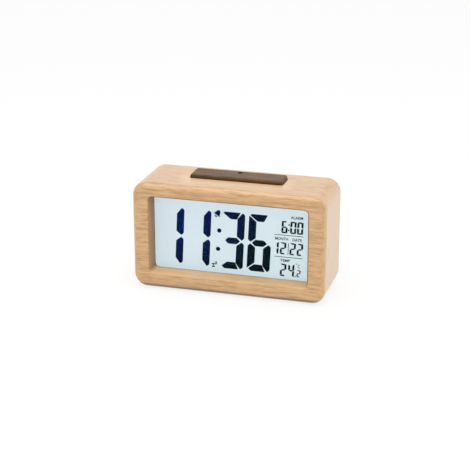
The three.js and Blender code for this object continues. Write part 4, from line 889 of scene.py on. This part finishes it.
def make_figures():
    figures("time_figures", "1136", centres=[-43.6, -24.3, -0.4, 18.6], height=-4.0, size=(16.3, 41.2))
    dots("time_colon", [(-9.8, 2.5), (-10.7, -10.9)], radius=1.55)
    figures("alarm_figures", "600", centres=[36.1, 42.1, 46.9], height=9.4, size=(4.2, 8.7))
    dots("alarm_colon", [(39.2, 11.2), (39.0, 7.4)], radius=0.55)
    figures("date_figures", "1222", centres=[30.0, 35.2, 41.9, 46.9], height=-5.9, size=(4.2, 8.6))
    figures("heat_figures", "24", centres=[35.4, 41.0], height=-21.5, size=(4.3, 9.0))
    figures("heat_tenths", "2", centres=[46.25], height=-23.2, size=(2.7, 5.0), ink="label_ink")
    dots("heat_point", [(43.95, -25.3)], radius=0.4, ink="label_ink")
    under_alarm = ((29.1, 49.1), (3.4, 3.8))
    under_date = ((29.1, 48.7), (-12.3, -11.9))
    upright = ((38.4, 38.8), (-10.3, -1.9))
    rules("display_rules", [under_alarm, under_date, upright], "label_ink")
    front_words("alarm_label", "ALARM", place=(44.5, 16.6), size=(8.4, 2.0))
    front_words("month_label", "MONTH", place=(34.1, 0.9), size=(9.0, 2.0))
    front_words("date_label", "DATE", place=(44.9, 0.9), size=(6.4, 2.0))
    front_words("heat_label", "TEMP", place=(36.7, -14.6), size=(6.8, 1.9))
    front_words("heat_unit", "C", place=(46.3, -18.0), size=(1.5, 2.9), ink="faint_ink")
    dots("heat_degree", [(44.8, -16.3)], radius=0.45, ink="faint_ink")


def make_marks():
    bell = flat_piece("bell_mark", BELL, 0.12)
    clapper = flat_piece("clapper", CLAPPER, 0.25)
    for mark in (bell, clapper):
        mark.data.transform(on_panel(-11.0, 14.6, 1.25, 1.25) @ Matrix.Rotation(BELL_TILT, 4, "Z"))
    dress(gather("bell_mark", [bell, clapper]), "figure_ink")
    large, small = (flat_piece("doze_mark", DOZE_LETTER) for _ in range(2))
    large.data.transform(on_panel(-15.0, -24.8, 2.2, 2.8) @ Matrix.Rotation(DOZE_TILT, 4, "Z"))
    small.data.transform(on_panel(-12.9, -22.5, 1.7, 1.9) @ Matrix.Rotation(DOZE_TILT, 4, "Z"))
    dress(gather("doze_mark", [large, small]), "figure_ink")


# Rear cover with its battery bay, holes and raised words
COVER_ROUND = 0.5
BAY_WALL = 1.5
WELL_HALF = (25.0, 16.65)
BAY_HALF = grown(WELL_HALF, BAY_WALL)
JOIN = round(COVER_INNER + 0.1, DIGITS)
THROUGH = (43.0, 50.0)
BEHIND = THROUGH[1]
SPACER = 6.0
SPACER_PLACE = (54.2, 22.25)
RING = 22.0
RING_BORE = 19.6
RING_FRONT = 40.1
STAKE = 4.0
STAKE_PIN = 2.0
STAKE_PLACES = (-37.5, 13.5)
DOOR_SEAT = 44.9
NOTCH = ((43.1, 45.0), (-26.15, -20.55))
TAIL_ACROSS = (24.0, 27.5)
TAIL_HALF = 1.5
KEY_HOLE = 7.6
STEM_SLOT = (2.8, 1.3)
KNOB_SLOT = (3.8, 1.8)
VENT_HALF = (5.0, 0.6)
VENT_PITCH = 2.8
VENTS = 4
SCREW_HOLE = 2.6
SCREW_SEAT = 4.8
SOUND_HOLE = 1.6
SOUND_HOLES = 6
SOUND_CIRCLE = 4.5
RIB_HALF = (11.1, 0.6)
RIB_DEPTH = (33.8, 35.5)


def make_shell():
    cover = slab("rear_shell", COVER_HALF, COVER_CORNER, (COVER_INNER, COVER_OUTER), segments=8)
    round_edges(cover, at(1, spot(0, COVER_OUTER, 0).y), COVER_ROUND, 3)
    fuse(cover, brick("bay", BAY_HALF, (WELL_FLOOR - BAY_WALL, JOIN), 0.0, BAY_MIDDLE))
    for side_x in (-1, 1):
        for side_h in (-1, 1):
            x, height = side_x * SPACER_PLACE[0], side_h * SPACER_PLACE[1]
            fuse(cover, dowel("spacer", SPACER, (SPACER_FRONT, JOIN), x, height, 24))
    ring = dowel("ring", RING, (RING_FRONT, JOIN), SIDE_MIDDLE, BAY_MIDDLE)
    fuse(cover, carve(ring, dowel("ring_bore", RING_BORE, (39, COVER_INNER), SIDE_MIDDLE, BAY_MIDDLE)))
    for x in STAKE_PLACES:
        stake = dowel("stake", STAKE, (39.2, JOIN), x, KEY_HEIGHT, 24)
        fuse(cover, stake, dowel("stake_pin", STAKE_PIN, (37.6, 44), x, KEY_HEIGHT, 16))
    return cover


def carve_bay(cover):
    well = brick("well", WELL_HALF, (WELL_FLOOR, BEHIND), 0.0, BAY_MIDDLE)
    seat_half = grown(DOOR_HALF, GAP)
    seat = slab("door_seat", seat_half, DOOR_CORNER + GAP, (DOOR_SEAT, BEHIND), 0.0, DOOR_MIDDLE, 4)
    carve(cover, well, seat)
    for x in TAB_PLACES:
        carve(cover, block("notch", around(x, TAB_HALF + GAP), *NOTCH))
    for side, (height, _) in ((-1, CELL_ROWS[0]), (1, CELL_ROWS[2])):
        across = sorted(side * end for end in TAIL_ACROSS)
        carve(cover, block("tail_hole", across, (WELL_FLOOR, WELL_FLOOR + 1), around(height, TAIL_HALF)))


def carve_openings(cover):
    for x in KEY_PLACES.values():
        carve(cover, dowel("button_hole", KEY_HOLE, THROUGH, x, KEY_HEIGHT))
    stem_slot = brick("stem_slot", STEM_SLOT, THROUGH, SLIDE_MIDDLE, KEY_HEIGHT)
    knob_slot = slab("knob_slot", KNOB_SLOT, 0.6, (45.5, BEHIND), SLIDE_MIDDLE, KEY_HEIGHT, 4)
    carve(cover, stem_slot, knob_slot)
    for i in range(VENTS):
        height = BAY_MIDDLE + (i - (VENTS - 1) / 2) * VENT_PITCH
        carve(cover, slab("vent", VENT_HALF, 0.55, THROUGH, -SIDE_MIDDLE, height, 4))
    for x, height in sorted(SCREW_PLACES):
        carve(
            cover, dowel("screw_hole", SCREW_HOLE, THROUGH, x, height, 20),
            dowel("screw_seat", SCREW_SEAT, (45.3, BEHIND), x, height, 32))


def carve_sound_holes(cover):
    for x, height in [(0, 0)] + circle(SOUND_HOLES, SOUND_CIRCLE):
        carve(cover, dowel("sound_hole", SOUND_HOLE, THROUGH, SIDE_MIDDLE + x, BAY_MIDDLE + height, 20))


def make_cover_words():
    for name, x in KEY_PLACES.items():
        rear_words(f"{name}_word", name.upper(), (x, KEY_HEIGHT + 6.6), (1.35 * len(name), 1.5))
    rear_words("alarm_word", "ALARM", (SLIDE_MIDDLE, KEY_HEIGHT + 4.6), (6.6, 1.4))
    rear_words("on_word", "ON", (SLIDE_MIDDLE + 6.4, KEY_HEIGHT), (2.6, 1.4))
    rear_words("off_word", "OFF", (SLIDE_MIDDLE - 6.6, KEY_HEIGHT), (3.4, 1.4))
    for row, (height, spring_side) in enumerate(CELL_ROWS, 1):
        rear_words(f"minus_mark_{row}", "-", (spring_side * 17, height), (2.4, 0.6), WELL_FLOOR)
        rear_words(f"plus_mark_{row}", "+", (-spring_side * 17, height), (2.4, 2.4), WELL_FLOOR)


def make_cover():
    cover = make_shell()
    carve_bay(cover)
    carve_openings(cover)
    row_heights = sorted(height for height, _ in CELL_ROWS)
    for height in (middle(pair) for pair in zip(row_heights, row_heights[1:])):
        fuse(cover, brick("rib", RIB_HALF, RIB_DEPTH, 0.0, height))
    soften(cover, width=0.15)
    carve_sound_holes(cover)
    smooth(cover)
    dress(cover, "cover_plastic", stands_for=["rear_cover"])
    make_cover_words()


SCREW_PROFILE = [
    (0.4, 9.55), (1.0, 8.9), (1.0, 0), (2.1, 0), (2.1, -0.6), (1.95, -0.9), (1.6, -1.1), (1.0, -1.2)]
SCREW_FLAT = 45.4
CROSS_HALF = (1.3, 0.3)
FIRST_TURN = 0.4
NEXT_TURN = 1.1


def make_screws():
    head = turn_piece("cover_screw_head_1", SCREW_PROFILE, 32)
    crown = Matrix.Translation((0, 0, SCREW_PROFILE[-1][1] * MM))
    for turn in (0, math.pi / 2):
        cross = brick("cross", CROSS_HALF, (0, 1))
        cross.data.transform(Matrix.Translation(-spot(0, 0.5, 0)))
        cross.data.transform(
            crown @ Matrix.Rotation(turn, 4, "Z") @ Matrix.Rotation(math.pi / 2, 4, "X"))
        carve(head, cross)
    smooth(head)
    screws = [head] + [twin(head, f"cover_screw_head_{i}") for i in (2, 3, 4)]
    for i, (screw, (x, height)) in enumerate(zip(screws, SCREW_PLACES), 1):
        screw.data.transform(Matrix.Rotation(FIRST_TURN + NEXT_TURN * i, 4, "Z"))
        stand(screw, x, SCREW_FLAT, height, (math.pi / 2, 0, 0))
        dress(screw, "steel", stands_for=[f"cover_screw_{i}"])


# Battery door with its hinge tabs, spring latch and grip
TAB_BACK = 43.8
TAB_ROOT = (-25.35, -22.85)
SLIT_PLACES = (-5, 5)
SLIT = 0.4
GRIP_HEIGHTS = (14.85, 12.85, 10.85)
GRIP_HALF = (3.4, 0.4)
ARROW = [(-1.6, 1.2), (1.6, 1.2), (0, -1.2)]
ARROW_HEIGHT = 4.6


def make_door():
    door = slab("door_leaf", DOOR_HALF, DOOR_CORNER, (DOOR_FRONT, COVER_OUTER), 0.0, DOOR_MIDDLE, 5)
    for x in TAB_PLACES:
        across = around(x, TAB_HALF)
        fuse(
            door, block("tab_root", across, (TAB_FRONT, DOOR_FRONT + 0.1), TAB_ROOT),
            block("tab", across, (TAB_FRONT, TAB_BACK), (TAB_FOOT, TAB_ROOT[1])))
    for x in SLIT_PLACES:
        carve(door, block("slit", around(x, SLIT), (44, 48), (7.85, 18)))
    grip_depth = (COVER_OUTER - 0.1, GRIP_BACK)
    for height in GRIP_HEIGHTS:
        fuse(door, brick("grip", GRIP_HALF, grip_depth, 0.0, height))
    smooth(soften(door, width=0.18))
    dress(door, "cover_plastic", "door", ["battery_door"])
    arrow = flat_piece("open_arrow", ARROW, 0.2)
    lay = Matrix(((MM, 0, 0, 0), (0, 0, 0.2 * MM, 0), (0, MM, 0, 0), (0, 0, 0, 1)))
    arrow.data.transform(Matrix.Translation(spot(0, COVER_OUTER - 0.05, ARROW_HEIGHT)) @ lay)
    dress(settle(arrow), "label_paint", "door")
    rear_words("open_word", "OPEN", (0, 0.8), (6.4, 1.6), body="door")


# Push keys and the alarm slide's knob
KEY_PROFILE = [
    (1.6, 41.2), (1.6, 42.8), (4.5, 42.8), (4.5, 43.8), (3.5, 43.8), (3.5, 47.0), (3.42, 47.25), (3.2, 47.45),
    (2.9, 47.5), (2.4, 47.42), (1.2, 47.3)]
KNOB_FRONT = 45.8
GROOVES = (-1.1, 0, 1.1)
GROOVE_HALF = (0.25, 2.0)
GROOVE_DEPTH = (47.0, 48.0)
STEM_HALF = (1.0, 1.0)


def make_controls():
    key = smooth(turn_piece("round_key", KEY_PROFILE))
    keys = [key] + [twin(key, "round_key") for _ in KEYS[1:]]
    for piece, (name, x) in zip(keys, KEY_PLACES.items()):
        piece.name = f"{name}_key_cap"
        stand(piece, x, 0, KEY_HEIGHT, (-math.pi / 2, 0, 0))
        dress(piece, "button_plastic", f"{name}_key", [f"{name}_button"])
    knob = block("slide_knob", knob_across, (KNOB_FRONT, KNOB_BACK), knob_height)
    for x in GROOVES:
        carve(knob, brick("groove", GROOVE_HALF, GROOVE_DEPTH, KNOB_PLACE + x, KEY_HEIGHT))
    fuse(knob, brick("knob_stem", STEM_HALF, (STEM_FRONT, KNOB_FRONT + 0.1), KNOB_PLACE, KEY_HEIGHT))
    smooth(soften(knob, width=0.15))
    dress(knob, "button_plastic", "alarm_slider", ["alarm_knob"])


# Cells: a steel can with a printed sleeve and a coloured band at its positive end
CAN_PROFILE = [
    (4.6, 0.25), (4.7, 0), (5.0, 0.05), (5.13, 0.3), (5.13, 43.3), (5.0, 43.6), (4.75, 43.7), (1.9, 43.7),
    (1.9, 44.3), (1.75, 44.45), (1.4, 44.5)]
SLEEVE_PROFILE = [(5.1, 0.3), (5.25, 0.45), (5.25, 33.0), (5.1, 33.0)]
BAND_PROFILE = [(5.1, 33.0), (5.25, 33.0), (5.25, 43.2), (4.9, 43.62), (4.6, 43.74)]
CELL_FOOT = 20.1


def make_cells():
    can = smooth(turn_piece("cell_can_1", CAN_PROFILE, 40))
    sleeve = smooth(turn_piece("cell_sleeve_1", SLEEVE_PROFILE))
    band = smooth(turn_piece("cell_band_1", BAND_PROFILE))
    layers = (
        (can, "cell_can", "steel"), (sleeve, "cell_sleeve", "cell_jacket"), (band, "cell_band", "cell_band"))
    for i, (height, spring_side) in enumerate(CELL_ROWS, 1):
        for first, kind, finish in layers:
            piece = first if i == len(CELL_ROWS) else twin(first, f"{kind}_{i}")
            piece.name = f"{kind}_{i}"
            stand(piece, spring_side * CELL_FOOT, CELL_DEPTH, height, (0, -spring_side * math.pi / 2, 0))
            dress(piece, finish, stands_for=[f"battery_{i}"] if kind == "cell_can" else ())


# Coil springs: a wire ring swept up a screw line, drawn in towards its tip
WIRE = 0.6
WIRE_SIDES = 10
TURN_STEPS = 28
SNOOZE_COIL = {"base": 5.2, "tip": 5.2, "length": 8.0, "turns": 5}
CELL_COIL = {"base": 6.4, "tip": 4.0, "length": 4.1, "turns": 3.5}
SNOOZE_COIL_PLACE = (24.0, 28.0, 21.05)
CELL_COIL_FOOT = 24.4


def coil(name, base, tip, length, turns):
    radius = (base - WIRE) / 2
    bpy.ops.mesh.primitive_circle_add(
        vertices=WIRE_SIDES, radius=WIRE / 2 * MM, location=(radius * MM, 0, WIRE / 2 * MM),
        rotation=(math.pi / 2, 0, 0))
    wire_ring = named(name)
    steps = int(turns * TURN_STEPS)
    apply_modifier(
        wire_ring, "SCREW", angle=2 * math.pi * turns, screw_offset=(length - WIRE) * MM, steps=steps,
        render_steps=steps, use_smooth_shade=True)
    edit(wire_ring)
    bpy.ops.mesh.fill_holes(sides=WIRE_SIDES + 2)
    close(wire_ring)
    drawn_in = (tip - WIRE) / (base - WIRE) - 1
    for vertex in wire_ring.data.vertices:
        share = 1 + drawn_in * min(1, max(0, vertex.co.z / (length * MM)))
        vertex.co.x *= share
        vertex.co.y *= share
    return wire_ring


def make_springs():
    x, depth, height = SNOOZE_COIL_PLACE
    for side, word in ((-1, "left"), (1, "right")):
        spring = stand(coil(f"snooze_coil_{word}", **SNOOZE_COIL), side * x, depth, height)
        dress(spring, "steel", stands_for=[f"snooze_spring_{word}"])
        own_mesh(spring)
    for i, (height, spring_side) in enumerate(CELL_ROWS, 1):
        spring = coil(f"cell_coil_{i}", **CELL_COIL)
        stand(spring, spring_side * CELL_COIL_FOOT, CELL_DEPTH, height, (0, -spring_side * math.pi / 2, 0))
        dress(spring, "steel", stands_for=[f"battery_spring_{i}"])


# Short leads inside the case
LEAD = 1.4
LEAD_SMOOTH = 50
CABLE = 2.2
CABLE_PLACE = middles("key_cable")[0]


def lead(node, points, diameter, finish):
    name = f"{node}_wire"
    bpy.ops.curve.primitive_bezier_curve_add()
    wire = bpy.context.object
    wire.name = name
    spline = wire.data.splines[0]
    spline.bezier_points.add(len(points) - 2)
    for knot, point in zip(spline.bezier_points, points):
        knot.co = spot(*point)
        knot.handle_left_type = knot.handle_right_type = "AUTO"
    wire.data.bevel_depth = diameter / 2 * MM
    wire.data.bevel_resolution = 4
    wire.data.use_fill_caps = True
    bpy.ops.object.convert(target="MESH")
    dress(smooth(named(name), LEAD_SMOOTH), finish, stands_for=[node])


def make_leads():
    for node, side, (height, _), drop, finish in (
            ("battery_lead_black", -1, CELL_ROWS[0], -2, "black_sleeve"),
            ("battery_lead_red", 1, CELL_ROWS[2], 2, "red_sleeve")):
        lead(node, [
            (side * 28.4, 34.4, height), (side * 31.4, 33.4, height), (side * 33.4, 29.05, height + drop / 2),
            (side * 33.4, 24.7, height + drop), (side * 33.4, 23.7, height + drop)], LEAD, finish)
    sags = ((37.6, 0), (35.7, 0), (30.65, 2), (25.6, 0), (23.7, 0))
    points = [(CABLE_PLACE, depth, KEY_HEIGHT - sag) for depth, sag in sags]
    lead("key_cable", points, CABLE, "grey_sleeve")


make_case()
make_feet()
make_bar()
make_panel()
make_figures()
make_marks()
make_cover()
make_screws()
make_door()
make_controls()
make_cells()
make_springs()
make_leads()
for shape in stroke_shapes.values():
    bpy.data.objects.remove(shape)


# Floor, light and camera, in metres
FLOOR_SIZE = 8
FLOOR_HEIGHT = -0.0002
WHITE_SHARE = 0.82
ROOM_LIGHT = 0.77
LAMP_PLACE = (0.05, -0.3, 1.1)
LAMP_AIM = (0, 0, 0.03)
LAMP_SIZE = 1.4
LAMP_POWER = 7.5
CAMERA_AZIMUTH = 15.95
CAMERA_ELEVATION = 19.68
CAMERA_DISTANCE = 0.9224
CAMERA_TARGET = (-0.0001, -0.004, 0.0379)
CAMERA_LENS = 103.0


# One where the camera, a reflection or glass sees the surface, nought where it only lights the object
def seen_plainly(tree):
    path = tree.nodes.new("ShaderNodeLightPath").outputs
    seen = path["Is Camera Ray"]
    for ray in ("Is Glossy Ray", "Is Transmission Ray"):
        either = tree.nodes.new("ShaderNodeMath")
        either.operation = "MAXIMUM"
        tree.links.new(seen, either.inputs[0])
        tree.links.new(path[ray], either.inputs[1])
        seen = either.outputs[0]
    return seen


def make_floor():
    bpy.ops.mesh.primitive_plane_add(size=FLOOR_SIZE, location=(0, 0, FLOOR_HEIGHT))
    floor = bpy.context.object
    floor.name = "floor"
    paper = Finish("floor_paper", Roughness=0.9, Specular_IOR_Level=0.0)
    paper.feed("Base Color", paper.mix(paper.noise(300.0), (0.95, 0.945, 0.94), (0.96, 0.955, 0.95)))
    share = paper.joined("MULTIPLY", seen_plainly(paper.tree), WHITE_SHARE)
    white = paper.node("ShaderNodeEmission", {"Color": (1, 1, 1, 1)})
    blend = paper.node("ShaderNodeMixShader", {
        "Fac": share, 1: paper.shader.outputs["BSDF"], 2: white.outputs["Emission"]})
    surface = paper.tree.nodes["Material Output"].inputs["Surface"]
    paper.tree.links.new(blend.outputs["Shader"], surface)
    floor.data.materials.append(paper.material)


def make_light():
    scene = bpy.context.scene
    scene.view_settings.view_transform = "Standard"
    world = bpy.data.worlds.new("white_room")
    scene.world = world
    world.use_nodes = True
    tree = world.node_tree
    room = tree.nodes["Background"]
    room.inputs["Color"].default_value = (1.0, 1.0, 1.0, 1)
    strength = tree.nodes.new("ShaderNodeMapRange")
    strength.inputs["To Min"].default_value = ROOM_LIGHT
    tree.links.new(seen_plainly(tree), strength.inputs["Value"])
    tree.links.new(strength.outputs["Result"], room.inputs["Strength"])
    bpy.ops.object.light_add(type="AREA", location=LAMP_PLACE)
    lamp = bpy.context.object
    lamp.data.shape = "DISK"
    lamp.data.size = LAMP_SIZE
    lamp.data.energy = LAMP_POWER
    lamp.rotation_euler = (Vector(LAMP_AIM) - lamp.location).to_track_quat("-Z", "Y").to_euler()


def make_camera():
    azimuth, elevation = math.radians(CAMERA_AZIMUTH), math.radians(CAMERA_ELEVATION)
    level = math.cos(elevation)
    back = Vector((math.sin(azimuth) * level, -math.cos(azimuth) * level, math.sin(elevation)))
    view = bpy.data.cameras.new("view")
    view.lens = CAMERA_LENS
    camera = bpy.data.objects.new("view", view)
    bpy.context.scene.collection.objects.link(camera)
    camera.location = Vector(CAMERA_TARGET) + back * CAMERA_DISTANCE
    camera.rotation_euler = (-back).to_track_quat("-Z", "Y").to_euler()
    bpy.context.scene.camera = camera


make_floor()
make_light()
make_camera()
